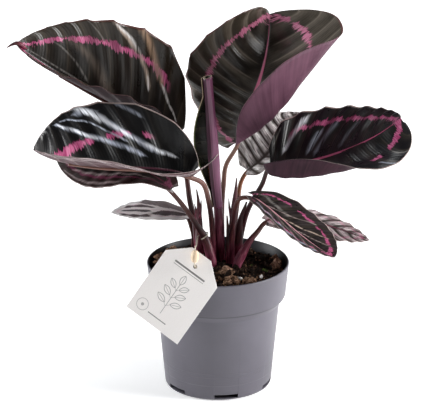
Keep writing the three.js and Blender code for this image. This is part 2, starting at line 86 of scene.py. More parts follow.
def grid_piece(name: str, rows: int, columns: int, place: Callable[[np.ndarray, np.ndarray], np.ndarray],
               uv: Callable[[np.ndarray, np.ndarray], tuple] | None = None) -> bpy.types.Object:
    """Adds a flat grid and bends it to a formula.

    Args:
        name: Name of the new piece.
        rows: Cells along the grid's second direction.
        columns: Cells along the grid's first direction.
        place: Gives points in millimetres from arrays of the two directions, each from 0 to 1.
        uv: Gives the two UV values from the same arrays, if they aren't the directions themselves.

    Returns:
        The new mesh object, smooth, with its UV map.
    """
    deselect()
    bpy.ops.mesh.primitive_grid_add(x_subdivisions=columns, y_subdivisions=rows, size=1, calc_uvs=True)
    piece = bpy.context.object
    piece.name = piece.data.name = name
    mesh = piece.data
    flat = np.empty(len(mesh.vertices) * 3)
    mesh.vertices.foreach_get("co", flat)
    flat = flat.reshape(-1, 3) + 0.5
    points = place(flat[:, 0], flat[:, 1]) * MM
    mesh.vertices.foreach_set("co", points.ravel())
    layer = mesh.uv_layers.active
    layer.name = UV
    if uv is not None:
        corners = np.empty(len(mesh.loops), dtype=int)
        mesh.loops.foreach_get("vertex_index", corners)
        first, second = uv(flat[:, 0], flat[:, 1])
        layer.uv.foreach_set("vector", np.stack([first, second], -1)[corners].ravel())
    mesh.update()
    bpy.ops.object.shade_smooth()
    return piece


def close_seams(piece: bpy.types.Object, gap: float = 0.01) -> None:
    """Merges points that meet, fills open ends and turns the faces outwards.

    Args:
        piece: Mesh object to close.
        gap: Largest distance between points that meet, in millimetres.
    """
    activate(piece)
    bpy.ops.object.mode_set(mode="EDIT")
    bpy.ops.mesh.select_all(action="SELECT")
    bpy.ops.mesh.remove_doubles(threshold=gap * MM)
    bpy.ops.mesh.fill_holes(sides=0)
    bpy.ops.mesh.select_all(action="SELECT")
    bpy.ops.mesh.normals_make_consistent(inside=False)
    bpy.ops.object.mode_set(mode="OBJECT")


def apply_modifier(piece: bpy.types.Object, kind: str, **settings: object) -> None:
    """Adds one modifier with its settings and applies it."""
    activate(piece)
    modifier = piece.modifiers.new(kind.title(), kind)
    for key, value in settings.items():
        setattr(modifier, key, value)
    bpy.ops.object.modifier_apply(modifier=modifier.name)


def join(name: str, *pieces: bpy.types.Object) -> bpy.types.Object:
    """Joins pieces into the first one and renames it."""
    activate(*pieces)
    bpy.ops.object.join()
    piece = bpy.context.object
    piece.name = piece.data.name = name
    return piece


def carve(piece: bpy.types.Object, *cutters: bpy.types.Object) -> None:
    """Cuts the joined cutters out of a piece and removes them."""
    cutter = join("cutter", *cutters)
    apply_modifier(piece, "BOOLEAN", object=cutter, operation="DIFFERENCE", solver="EXACT")
    bpy.data.objects.remove(cutter)


def scatter(name: str, model: bpy.types.Object, places: Sequence[Matrix]) -> bpy.types.Object:
    """Copies a small model to many places and joins the copies.

    Args:
        name: Name of the new piece.
        model: Model with its centre at the origin, which is removed at the end.
        places: Place, turn and scale of each copy.

    Returns:
        The joined piece.
    """
    copies = []
    for place in places:
        copy = model.copy()
        copy.data = model.data.copy()
        copy.data.transform(place)
        bpy.context.collection.objects.link(copy)
        copies.append(copy)
    bpy.data.objects.remove(model)
    return join(name, *copies)


def hold(piece: bpy.types.Object, slot: str, *nodes: str) -> bpy.types.Object:
    """Seats a finished piece on the part and reports it.

    Args:
        piece: Finished object, with its place in its mesh.
        slot: Material slot of the record, which is only logged.
        nodes: Solids that the piece stands for.

    Returns:
        The same piece.
    """
    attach(piece, "root")
    if nodes:
        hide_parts(*nodes)
    size = len(piece.data.polygons) if piece.type == "MESH" else 0
    LOG.info("%s: %d faces, slot %s", piece.name, size, slot)
    return piece


@dataclass
class Term:
    """A socket of a material in an expression, where each operator adds its Math node."""

    graph: "Graph"
    socket: bpy.types.NodeSocket

    def _math(self, operation: str, *values: "Term | float", first: "Term | float | None" = None) -> "Term":
        """Adds a Math node of an operation."""
        lead = self if first is None else first
        inputs = dict(enumerate([lead, *values]))
        return self.graph.add("ShaderNodeMath", {"operation": operation}, inputs).out()

    def __add__(self, other: "Term | float") -> "Term":
        """Adds."""
        return self._math("ADD", other)

    def __sub__(self, other: "Term | float") -> "Term":
        """Subtracts."""
        return self._math("SUBTRACT", other)

    def __rsub__(self, other: float) -> "Term":
        """Subtracts from a number."""
        return self._math("SUBTRACT", self, first=other)

    def __mul__(self, other: "Term | float") -> "Term":
        """Multiplies."""
        return self._math("MULTIPLY", other)

    def __truediv__(self, other: "Term | float") -> "Term":
        """Divides."""
        return self._math("DIVIDE", other)

    def __pow__(self, other: "Term | float") -> "Term":
        """Raises to a power."""
        return self._math("POWER", other)

    __radd__ = __add__
    __rmul__ = __mul__

    def size(self) -> "Term":
        """Size without its sign."""
        return self._math("ABSOLUTE")

    def fract(self) -> "Term":
        """Part after the whole number."""
        return self._math("FRACT")

    def root(self) -> "Term":
        """Square root."""
        return self._math("SQRT")

    def least(self, other: "Term | float") -> "Term":
        """Smaller of two values."""
        return self._math("MINIMUM", other)

    def most(self, other: "Term | float") -> "Term":
        """Larger of two values."""
        return self._math("MAXIMUM", other)

    def step(self, low: float, high: float, start: float = 0.0, end: float = 1.0) -> "Term":
        """Smooth step from start to end while the value goes from low to high."""
        values = {"Value": self, "From Min": low, "From Max": high, "To Min": start, "To Max": end}
        settings = {"interpolation_type": "SMOOTHSTEP", "clamp": True}
        return self.graph.add("ShaderNodeMapRange", settings, values).out("Result")


@dataclass
class Made:
    """A node that was added, with its outputs as terms."""

    graph: "Graph"
    node: bpy.types.Node

    def out(self, name: str | int = 0) -> Term:
        """Output of the node by its name or number."""
        return Term(self.graph, self.node.outputs[name])


class Graph:
    """Node tree of one material."""

    def __init__(self, name: str) -> None:
        """Starts a material with one principled shader."""
        self.material = bpy.data.materials.new(name)
        self.material.use_nodes = True
        self.tree = self.material.node_tree
        self.tree.nodes.clear()
        self.shader = self.add("ShaderNodeBsdfPrincipled", {}, {}).node
        self.add("ShaderNodeOutputMaterial", {}, {"Surface": Term(self, self.shader.outputs[0])})

    def add(self, kind: str, settings: dict, inputs: dict) -> Made:
        """Adds a node.

        Args:
            kind: Type of the node.
            settings: Properties that are set first.
            inputs: Values or terms by the socket's name or number.

        Returns:
            The new node.
        """
        node = self.tree.nodes.new(kind)
        for key, value in settings.items():
            setattr(node, key, value)
        for key, value in inputs.items():
            self.feed(node.inputs[key], value)
        return Made(self, node)

    def feed(self, socket: bpy.types.NodeSocket, value: object) -> None:
        """Links a term to a socket, or sets its value."""
        if isinstance(value, Term):
            self.tree.links.new(value.socket, socket)
        elif isinstance(value, tuple) and socket.type == "RGBA":
            socket.default_value = (*value, 1.0)
        else:
            socket.default_value = value

    def uv(self) -> tuple[Term, Term]:
        """The two values of the piece's UV map."""
        uv = self.add("ShaderNodeUVMap", {"uv_map": UV}, {}).out()
        parts = self.add("ShaderNodeSeparateXYZ", {}, {0: uv})
        return parts.out("X"), parts.out("Y")

    def place(self) -> Term:
        """The place on the object."""
        return self.add("ShaderNodeTexCoord", {}, {}).out("Object")

    def axes(self) -> tuple[Term, Term, Term]:
        """The place on the object as three values."""
        parts = self.add("ShaderNodeSeparateXYZ", {}, {0: self.place()})
        return parts.out("X"), parts.out("Y"), parts.out("Z")

    def dot(self, vector: Term, other: Vector | Term) -> Term:
        """Dot product of a vector with another one."""
        settings = {"operation": "DOT_PRODUCT"}
        return self.add("ShaderNodeVectorMath", settings, {0: vector, 1: other}).out("Value")

    def pair(self, first: Term | float, second: Term | float, third: Term | float = 0.0) -> Term:
        """A vector of two or three values."""
        return self.add("ShaderNodeCombineXYZ", {}, {0: first, 1: second, 2: third}).out()

    def noise(self, vector: Term, scale: float, detail: float = 2.0, roughness: float = 0.5) -> Term:
        """Noise from 0 to 1 at a place."""
        inputs = {"Vector": vector, "Scale": scale, "Detail": detail, "Roughness": roughness}
        return self.add("ShaderNodeTexNoise", {}, inputs).out(0)

    def mix(self, share: Term | float, first: Term | Colour, second: Term | Colour) -> Term:
        """Colour between two colours."""
        settings = {"data_type": "RGBA", "clamp_factor": True}
        return self.add("ShaderNodeMix", settings, {0: share, 6: first, 7: second}).out(2)

    def bump(self, height: Term, depth: float, under: Term | None = None, strength: float = 1.0) -> Term:
        """Normal of a relief.

        Args:
            height: Height from 0 to 1.
            depth: Depth of the relief, in millimetres.
            under: Normal of a coarser relief below it.
            strength: Share of the relief that shows.
        """
        inputs = {"Height": height, "Distance": depth * MM, "Strength": strength}
        if under is not None:
            inputs["Normal"] = under
        return self.add("ShaderNodeBump", {}, inputs).out()

    def finish(self, **values: object) -> bpy.types.Material:
        """Feeds the shader by the names of its sockets, with _ for a space, and returns the material."""
        for key, value in values.items():
            self.feed(self.shader.inputs[key.replace("_", " ")], value)
        return self.material


@dataclass(frozen=True)
class Marking:
    """Rose ring on a leaf: an oval in shares of the blade's length and of its left and right widths."""

    centre: float = 0.47
    length: float = 0.45
    reach: tuple[float, float] = (0.66, 0.66)
    power: float = 3.0
    width: float = 0.068
    strength: float = 1.0
    midrib: float = 1.0
    seed: float = 0.0
    gaps: float = 0.3
    span: tuple[float, float] = (-0.1, 1.1)


@dataclass(frozen=True)
class Streak:
    """Streak on a leaf: points as shares along the veins and across, and its width in millimetres.

    A solid streak is an even stripe. Any other one fades out sideways and is broken up by the veins. The
    pale streaks are painted highlights and sheen along the pleats, and the dark ones paint a dark leaf
    colour over what lies beneath.
    """

    points: tuple[tuple[float, float], ...]
    width: float = 2.0
    strength: float = 0.8
    colour: Colour = (0.62, 0.66, 0.74)
    length: float = 125.0
    half: float = 50.0
    solid: bool = False

    def mask(self, v: Term, s: Term, grain: Term) -> Term:
        """Share of the streak at a place.

        Args:
            v: Place along the blade, counted in veins.
            s: Place across the blade.
            grain: Noise drawn out along the veins, which breaks the streak up.
        """
        x = v * self.length
        sway, inside, outside = (0.35, 0.42, 0.54) if self.solid else (1.2, 0.0, 1.15)
        y = s * self.half + (grain - 0.5) * (sway * self.width)
        places = [(self.length * v0, self.half * s0) for v0, s0 in self.points]
        whole = None
        for start, end in zip(places, places[1:]):
            run = math.dist(start, end)
            c, n = (end[0] - start[0]) / run, (end[1] - start[1]) / run
            along = (x - start[0]) * c + (y - start[1]) * n
            off = ((y - start[1]) * c - (x - start[0]) * n).size()
            past = ((along - run / 2).size() - run / 2).most(0.0) * 0.6
            one = (off + past).step(inside * self.width, outside * self.width, 1.0, 0.0)
            whole = one if whole is None else whole.most(one)
        return whole * self.strength if self.solid else whole * grain.step(0.28, 0.6) * self.strength


@dataclass(frozen=True)
class LeafTone:
    """Colours of a leaf's upper face. Its inner and outer tones are set leaf by leaf as painted light:
    olive-brown on the upright leaves and blue-black on those that face up.
    """

    inner: Colour = (0.0065, 0.006, 0.0055)
    outer: Colour = (0.021, 0.016, 0.011)
    vein: Colour = (0.075, 0.062, 0.046)
    # The next field sets the pale vein lines together with the painted sheen on each pleat's flank, and the
    # three after it set the painted sheen on the pleats.
    veins: float = 0.5
    pleat_sheen: Colour = (0.3, 0.27, 0.26)
    pleat_sheen_share: float = 0.0
    pleat_sheen_edge: float = 0.34
    ring: Colour = (0.38, 0.045, 0.15)
    ring_light: Colour = (0.62, 0.18, 0.33)
    midrib: Colour = (0.5, 0.1, 0.2)
    margin: Colour = (0.12, 0.05, 0.045)
    roughness: float = 0.29
    streaks: tuple[Streak, ...] = ()


@dataclass(frozen=True)
class LeafFace:
    """Glossy upper face with its veins, rose ring and rose midrib, and painted highlights and painted sheen
    along the pleats.
    """

    marking: Marking
    tone: LeafTone
    pleats: int
    sweep: float = 0.85

    def ring(self, v: Term, s: Term, a: Term, strokes: Term, fibres: Term,
             patches: Term) -> tuple[Term, Term]:
        """Share of the rose ring, and how far a place lies outside it.

        Args:
            v: Place along the blade, counted in veins.
            s: Place across the blade, from -1 to 1.
            a: Place along the blade, straight across.
            strokes: Fine noise that gives the ring its teeth.
            fibres: Noise drawn out along the veins.
            patches: Coarse noise that opens gaps in the ring.
        """
        left, right = self.marking.reach
        reach = s.step(-0.01, 0.01, left, right)
        power = self.marking.power
        run = ((a - self.marking.centre) / self.marking.length).size()
        oval = (run ** power + (s.size() / reach) ** power) ** (1 / power)
        edge = oval - 1 + (strokes - 0.5) * 0.22
        width = (patches - 0.5) * 0.2 + (fibres - 0.5) * 0.22 + self.marking.width
        low, high = self.marking.span
        shown = v.step(low - 0.03, low + 0.03) * v.step(high - 0.03, high + 0.03, 1.0, 0.0)
        shown = shown * patches.step(self.marking.gaps - 0.06, self.marking.gaps + 0.06)
        return (width - edge.size()).step(-0.004, 0.02) * shown * self.marking.strength, edge

    def material(self, name: str) -> bpy.types.Material:
        """Builds the material."""
        graph, tone = Graph(name), self.tone
        across, v = graph.uv()
        s = across * 2 - 1
        u = s.size()
        a = v + (u ** 1.4) * v * (1 - v) * self.sweep
        shift = self.marking.seed * 7.3
        strokes = graph.noise(graph.pair(v * (self.pleats * 13.0) + shift, s * 3.0), 1.0, 2.0, 0.7)
        patches = graph.noise(graph.pair(v * (self.pleats * 1.7) + shift, s * 3.0), 1.0, 1.0)
        fibres = graph.noise(graph.pair(v * (self.pleats * 9.0) - shift, s * 2.2), 1.0, 3.0, 0.6)
        clouds = graph.noise(graph.pair(v * 12.0 + shift, s * 3.0), 1.0, 3.0)
        ring, edge = self.ring(v, s, a, strokes, fibres, patches)
        phase = (v * self.pleats).fract()
        crease = (phase - 0.5).size()
        # Pale vein lines at the creases: partly the veins' own colour, partly painted highlight.
        line = crease.step(0.0, 0.06, 1.0, 0.0) * u.step(0.03, 0.2)
        # Painted sheen on the lit flank of each pleat.
        soft = phase.step(0.5, 0.62, 1.0, 0.0) * phase.step(0.0, 0.5) * u.step(0.05, 0.35)
        # Painted sheen on the pleats between the creases.
        pleat_sheen = crease.step(0.1 * tone.pleat_sheen_edge, tone.pleat_sheen_edge) * fibres.step(0.25, 0.6)
        pleat_sheen = pleat_sheen * u.step(0.02, 0.15) * (patches.step(0.3, 0.6) * 0.65 + 0.35)
        rose = graph.mix(strokes.step(0.35, 0.7), tone.ring, tone.ring_light)
        base = graph.mix(edge.step(-0.05, 0.14), tone.inner, tone.outer)
        # Random haze of the leaf's own tone, with the painted flank sheen.
        haze_and_sheen = clouds.step(0.35, 0.8) * 0.35 + soft * fibres * 0.9
        base = graph.mix(haze_and_sheen * tone.veins, base, tone.vein)
        base = graph.mix(pleat_sheen * tone.pleat_sheen_share, base, tone.pleat_sheen)
        base = graph.mix(line * (patches * 0.6 + 0.4) * tone.veins, base, tone.vein)
        base = graph.mix(ring, base, rose)
        taper = (1 - v).most(0.0) ** 0.6 * 0.036 + 0.006
        midrib = (taper - u).step(0.0, 0.012) * v.step(0.0, 0.12) * v.step(0.93, 1.0, 1.0, 0.0)
        base = graph.mix(midrib * self.marking.midrib, base, tone.midrib)
        # Painted highlights and sheen along the pleats, and dark marks laid over them.
        for streak in tone.streaks:
            base = graph.mix(streak.mask(v, s, fibres), base, streak.colour)
        base = graph.mix(u.step(0.97, 0.99), base, tone.margin)
        ridges = ((v * (self.pleats * 7.0)).fract() - 0.5).size() * 2
        relief = graph.bump(ridges, 0.14, strength=0.5)
        cells = graph.noise(graph.place(), 2600.0, 2.0)
        relief = graph.bump(cells, 0.04, relief, 0.5)
        gloss = clouds * 0.12 + (tone.roughness - 0.06)
        return graph.finish(Base_Color=base, Roughness=gloss, Specular_IOR_Level=0.34, Normal=relief)


@dataclass(frozen=True)
class Underside:
    """Purple underside with raised veins, and painted highlight streaks on a folded margin."""

    dark: Colour = (0.022, 0.007, 0.012)
    light: Colour = (0.07, 0.024, 0.038)
    vein: Colour = (0.12, 0.045, 0.06)
    roughness: float = 0.6
    lines: float = 0.5
    # Share of the painted highlight streaks on a folded margin, and their colour.
    pale: float = 0.0
    fold_sheen_colour: Colour = (0.62, 0.5, 0.5)
    gloss: float = 0.25

    def material(self, name: str, pleats: int) -> bpy.types.Material:
        """Builds the material for a blade with this many pleats."""
        graph = Graph(name)
        across, v = graph.uv()
        s = across * 2 - 1
        u = s.size()
        fibres = graph.noise(graph.pair(v * (pleats * 9.0), s * 2.0), 1.0, 4.0)
        clouds = graph.noise(graph.pair(v * 8.0, s * 3.0), 1.0, 2.0)
        base = graph.mix((fibres * 0.6 + clouds * 0.5).step(0.3, 0.8), self.dark, self.light)
        crease = ((v * pleats).fract() - 0.5).size()
        vein = crease.step(0.0, 0.06, 1.0, 0.0) * u.step(0.0, 0.1)
        base = graph.mix(vein * self.lines, base, self.vein)
        base = graph.mix(u.step(0.01, 0.05, 1.0, 0.0) * 0.7, base, self.vein)
        # Painted highlight streaks drawn out along a folded margin.
        drawn = graph.noise(graph.pair(v * 5.0, s * 38.0), 1.0, 3.0)
        base = graph.mix(drawn.step(0.5, 0.62) * u.step(0.5, 0.75) * self.pale, base, self.fold_sheen_colour)
        ridges = ((v * (pleats * 7.0)).fract() - 0.5).size() * 2
        relief = graph.bump(ridges, 0.12, strength=self.lines)
        return graph.finish(Base_Color=base, Roughness=self.roughness, Specular_IOR_Level=self.gloss,
                            Normal=relief)


@dataclass(frozen=True)
class StalkSkin:
    """Maroon stalk with a magenta foot and a paler node below the blade, ridged along its length, with
    lighter streaks that are partly its own striping and partly painted highlights.
    """

    foot: Colour = (0.09, 0.009, 0.024)
    foot_streaks_and_sheen: Colour = (0.46, 0.11, 0.18)
    body: Colour = (0.032, 0.008, 0.01)
    body_streaks_and_sheen: Colour = (0.2, 0.062, 0.06)
    node: Colour = (0.1, 0.04, 0.03)
    node_from: float = 0.8
    foot_top: float = 0.62
    gloss: float = 0.34

    def material(self, name: str, blade_at: float = 1.0) -> bpy.types.Material:
        """Builds the material.

        Args:
            name: Name of the material.
            blade_at: Share of the tube's length at which the blade begins.
        """
        graph = Graph(name)
        around, along = graph.uv()
        up = along / blade_at
        streaks = graph.noise(graph.pair(around * 9.0, up * 5.0), 1.0, 3.0)
        fine = graph.noise(graph.pair(around * 34.0, up * 9.0), 1.0, 2.0)
        mark = streaks * 0.65 + fine * 0.35
        # Lighter streaks: partly the stalk's own striping, partly painted highlights.
        foot = graph.mix(mark.step(0.42, 0.66), self.foot, self.foot_streaks_and_sheen)
        body = graph.mix(mark.step(0.45, 0.72), self.body, self.body_streaks_and_sheen)
        base = graph.mix((up + (streaks - 0.5) * 0.5).step(0.25, self.foot_top), foot, body)
        base = graph.mix(up.step(self.node_from, 1.0) * (0.95 - mark * 0.5), base, self.node)
        relief = graph.bump(mark, 0.25, strength=0.6)
        return graph.finish(Base_Color=base, Roughness=self.gloss, Specular_IOR_Level=0.3, Normal=relief)


@dataclass(frozen=True)
class Half:
    """One half of a blade: its width, and the angles of its section from base to tip."""

    width: float
    lift: tuple[float, float, float]
    curl: tuple[float, float, float] = (0.0, 0.0, 0.0)
    fold: tuple[float, float, float] = (0.0, 0.0, 0.0)
    span: float = 1.0
    tip: float | None = None
    base: float | None = None
    ear: Point | None = None
    smooth: bool = False


def between(values: Sequence[float], a: np.ndarray) -> np.ndarray:
    """Value of a curve through its base, middle and tip values."""
    base, middle, tip = values
    return base * (1 - a) * (1 - 2 * a) + 4 * middle * a * (1 - a) + tip * a * (2 * a - 1)


def cubic(points: Sequence[Point], t: np.ndarray) -> np.ndarray:
    """Points of the cubic that passes through four points at equal steps."""
    one, two = t - 1 / 3, t - 2 / 3
    weights = [
        -4.5 * one * two * (t - 1),
        13.5 * t * two * (t - 1),
        -13.5 * t * one * (t - 1),
        4.5 * t * one * two,
    ]
    return sum(weight[:, None] * np.array(point, float) for weight, point in zip(weights, points))


def unit(vectors: np.ndarray) -> np.ndarray:
    """Vectors of length one."""
    return vectors / np.linalg.norm(vectors, axis=-1, keepdims=True)


@dataclass
class Tube:
    """Round stem along a smooth path."""

    path: Sequence[Point]
    radii: Sequence[float]
    rings: int = 40
    sides: int = 16

    def centres(self, t: np.ndarray) -> np.ndarray:
        """Centres at even steps along the path, from 0 to 1."""
        points = np.array(self.path, float)
        points = np.vstack([2 * points[0] - points[1], points, 2 * points[-1] - points[-2]])
        lengths = np.linalg.norm(np.diff(points, axis=0), axis=1)
        knots = np.concatenate([[0], np.cumsum(np.sqrt(lengths))])
        ends = np.interp(t, np.linspace(0, 1, 400), self._even(points, knots))
        return self._curve(points, knots, ends)

    @staticmethod
    def _curve(points: np.ndarray, knots: np.ndarray, places: np.ndarray) -> np.ndarray:
        """Centripetal curve through the points, at places along its knots."""
        k = np.clip(np.searchsorted(knots, places, side="right") - 1, 1, len(points) - 3)
        t0, t1, t2, t3 = (knots[k + i - 1][:, None] for i in range(4))
        p0, p1, p2, p3 = (points[k + i - 1] for i in range(4))
        t = places[:, None]
        a1 = ((t1 - t) * p0 + (t - t0) * p1) / (t1 - t0)
        a2 = ((t2 - t) * p1 + (t - t1) * p2) / (t2 - t1)
        a3 = ((t3 - t) * p2 + (t - t2) * p3) / (t3 - t2)
        b1 = ((t2 - t) * a1 + (t - t0) * a2) / (t2 - t0)
        b2 = ((t3 - t) * a2 + (t - t1) * a3) / (t3 - t1)
        return ((t2 - t) * b1 + (t - t1) * b2) / (t2 - t1)

    def _even(self, points: np.ndarray, knots: np.ndarray) -> np.ndarray:
        """Places on the knots that lie at even lengths."""
        fine = np.linspace(knots[1], knots[-2], 1200)
        curve = self._curve(points, knots, fine)
        run = np.concatenate([[0], np.cumsum(np.linalg.norm(np.diff(curve, axis=0), axis=1))])
        return np.interp(np.linspace(0, run[-1], 400), run, fine)

    def place(self, around: np.ndarray, along: np.ndarray) -> np.ndarray:
        """Points of the tube's skin."""
        centres = self.centres(along)
        ahead = self.centres(np.clip(along + 0.004, 0, 1)) - self.centres(np.clip(along - 0.004, 0, 1))
        tangent = unit(ahead)
        side = unit(np.cross(tangent, np.array([0.05, 1.0, 0.02])))
        up = np.cross(side, tangent)
        shares = np.linspace(0, 1, len(self.radii))
        radius = np.interp(along, shares, self.radii)[:, None]
        angle = 2 * math.pi * around[:, None]
        return centres + radius * (np.cos(angle) * side + np.sin(angle) * up)

    def build(self, name: str) -> bpy.types.Object:
        """Builds the closed tube."""
        piece = grid_piece(name, self.rings, self.sides, self.place)
        close_seams(piece)
        return piece


@dataclass
class Leaf:
    """One leaf: a blade on its midrib, its stalk and, on some, the sheath round the stalk's foot."""

    name: str
    midrib: Sequence[Point]
    face: Sequence[Point]
    left: Half
    right: Half
    widest: float
    base: float
    tip: float
    pleats: int
    stalk: Sequence[Point]
    radii: Sequence[float]
    waves: float = 1.3
    sheath: Sequence[Point] = ()
    sheath_radii: Sequence[float] = ()
    drip: Sequence[Point] = ()
    drip_radii: Sequence[float] = (0.5, 2.4, 1.4, 0.4)
    marking: Marking = field(default_factory=Marking)
    tone: LeafTone = field(default_factory=LeafTone)
    under: Underside = field(default_factory=Underside)
    skin: StalkSkin = field(default_factory=StalkSkin)
    sweep: float = 0.85
    blade: float = 0.5
    ear_span: float = 0.25
    scallop: float = 0.03
    first_vein: float = 0.01
    last_vein: float = 0.997
    rows_per_pleat: int = 10
    columns: int = 44

    def frame(self, a: np.ndarray) -> tuple[np.ndarray, np.ndarray, np.ndarray]:
        """Direction of the midrib, its upper face and its right side at shares of its length."""
        step = 1e-4
        along = unit(cubic(self.midrib, a + step) - cubic(self.midrib, a - step))
        faces = [self.face[0]] * 3 if len(self.face) == 1 else self.face
        up = np.stack([between([face[axis] for face in faces], a) for axis in range(3)], -1)
        up = unit(up - (up * along).sum(-1, keepdims=True) * along)
        return along, up, np.cross(along, up)

    def fullness(self, half: Half, a: np.ndarray) -> np.ndarray:
        """Share of the half width that the blade has at shares of its length."""
        base = self.base if half.base is None else half.base
        near = np.clip(1 - ((self.widest - a) / self.widest) ** 2, 0, None) ** base
        x = np.clip((a - self.widest) / (1 - self.widest), 0, 1)
        far = np.clip(1 - x ** 2.2, 0, None) ** (self.tip if half.tip is None else half.tip)
        return np.where(a < self.widest, near, far)

    def ripple(self, v: np.ndarray, u: np.ndarray, full: np.ndarray) -> np.ndarray:
        """Height of the pleats: round crests and tighter creases along the veins."""
        phase = 2 * math.pi * self.pleats * v
        crest = 0.75 * np.cos(phase) + 0.25 * (1 - 2 * np.abs(np.sin(phase / 2)))
        return self.waves * np.minimum(1, u / 0.5) ** 1.2 * np.minimum(1, 1.3 * full) * crest

    def half_points(self, half: Half, right: bool, v: np.ndarray, u: np.ndarray) -> np.ndarray:
        """Points of one half of the blade."""
        a = v + self.sweep * u ** 1.4 * v * (1 - v)
        along, up, side = self.frame(a)
        side = side if right else -side
        full = self.fullness(half, a)
        lift = np.radians(between(half.lift, a))
        curl = np.radians(between(half.curl, a))
        curl = np.where(curl == 0, 1e-3, curl)
        start = between(half.fold, a)
        before = np.minimum(u, start)
        turned = np.clip(u - start, 0, half.span)
        after = np.maximum(u - start - half.span, 0)
        slope = lift + curl * turned / half.span
        bend = half.span / curl
        last = lift + curl
        out = before * np.cos(lift) + bend * (np.sin(slope) - np.sin(lift)) + after * np.cos(last)
        rise = before * np.sin(lift) + bend * (np.cos(lift) - np.cos(slope)) + after * np.sin(last)
        cusp = 0.8 - np.abs(np.sin(math.pi * self.pleats * v + 0.6 * np.sin(9 * v))) ** 0.6
        scallop = 0.0 if half.smooth else self.scallop * u ** 5 * cusp
        width = (full * half.width * (1 + scallop))[:, None]
        outward = up * np.cos(slope)[:, None] - side * np.sin(slope)[:, None]
        ear = -4 * along if half.ear is None else np.array(half.ear, float)
        pull = (u ** 2 * np.clip(1 - v / self.ear_span, 0, None) ** 2)[:, None]
        point = cubic(self.midrib, a) + width * (side * out[:, None] + up * rise[:, None])
        ripple = self.ripple(v, u, full)
        if half.smooth:
            ripple = ripple * np.interp(u, [0.2, 0.45], [1.0, 0.2])
        return point + outward * ripple[:, None] + ear * pull

    def place(self, across: np.ndarray, along: np.ndarray) -> np.ndarray:
        """Points of the blade from the left margin to the right one, and from base to tip."""
        v = self.first_vein + (self.last_vein - self.first_vein) * along
        s = 2 * across - 1
        points = np.empty((len(v), 3))
        right = s >= 0
        points[right] = self.half_points(self.right, True, v[right], s[right])
        points[~right] = self.half_points(self.left, False, v[~right], -s[~right])
        return points

    def build_blade(self) -> bpy.types.Object:
        """Builds the blade with its thickness, its two faces and its margin."""
        rows = self.pleats * self.rows_per_pleat
        piece = grid_piece(self.name + "_blade", rows, self.columns, self.place)
        finishes = self.blade_finishes()
        for facing in Facing:
            piece.data.materials.append(finishes[facing])
        apply_modifier(piece, "SOLIDIFY", thickness=self.blade * MM, offset=0.0, use_even_offset=False,
                       material_offset=Facing.LOWER.value, material_offset_rim=Facing.MARGIN.value)
        return piece

    def blade_finishes(self) -> dict[Facing, bpy.types.Material]:
        """Builds the finish of each side of the blade."""
        upper = LeafFace(self.marking, self.tone, self.pleats, self.sweep).material(self.name + "_face")
        lower = self.under.material(self.name + "_underside", self.pleats)
        graph = Graph(self.name + "_margin")
        rim = graph.mix(graph.noise(graph.place(), 180.0), self.under.dark, self.tone.margin)
        margin = graph.finish(Base_Color=rim, Roughness=0.5)
        return {Facing.UPPER: upper, Facing.LOWER: lower, Facing.MARGIN: margin}

    def build_stalk(self) -> list[bpy.types.Object]:
        """Builds the stalk with the midrib under the blade, and the sheath."""
        shares = np.array([0, 0.15, 0.35, 0.55, 0.75])
        thick = 2 - 1.2 * shares
        _, up, _ = self.frame(shares)
        rib = cubic(self.midrib, shares) + up * (0.1 - thick[:, None])
        path = [*self.stalk, *map(tuple, rib)]
        radii = [*self.radii, *(thick - 0.15)]
        tubes = [Tube(path, radii, 64).build(self.name + "_stalk")]
        if self.sheath:
            tubes.append(Tube(self.sheath, self.sheath_radii, 24).build(self.name + "_sheath"))
        if self.drip:
            tubes.append(Tube(self.drip, self.drip_radii, 16).build(self.name + "_drip"))
        run = np.cumsum(np.linalg.norm(np.diff(np.array(path, float), axis=0), axis=1))
        blade_at = float(run[len(self.stalk) - 2] / run[-1])
        tubes[0].data.materials.append(self.skin.material(self.name + "_skin", blade_at))
        for tube in tubes[1:]:
            tube.data.materials.append(self.skin.material(tube.name + "_skin"))
        return tubes

    def build(self) -> bpy.types.Object:
        """Builds the whole leaf as one piece in its solid's place."""
        piece = join(self.name + "_grown", self.build_blade(), *self.build_stalk())
        return hold(piece, "leaf", self.name)


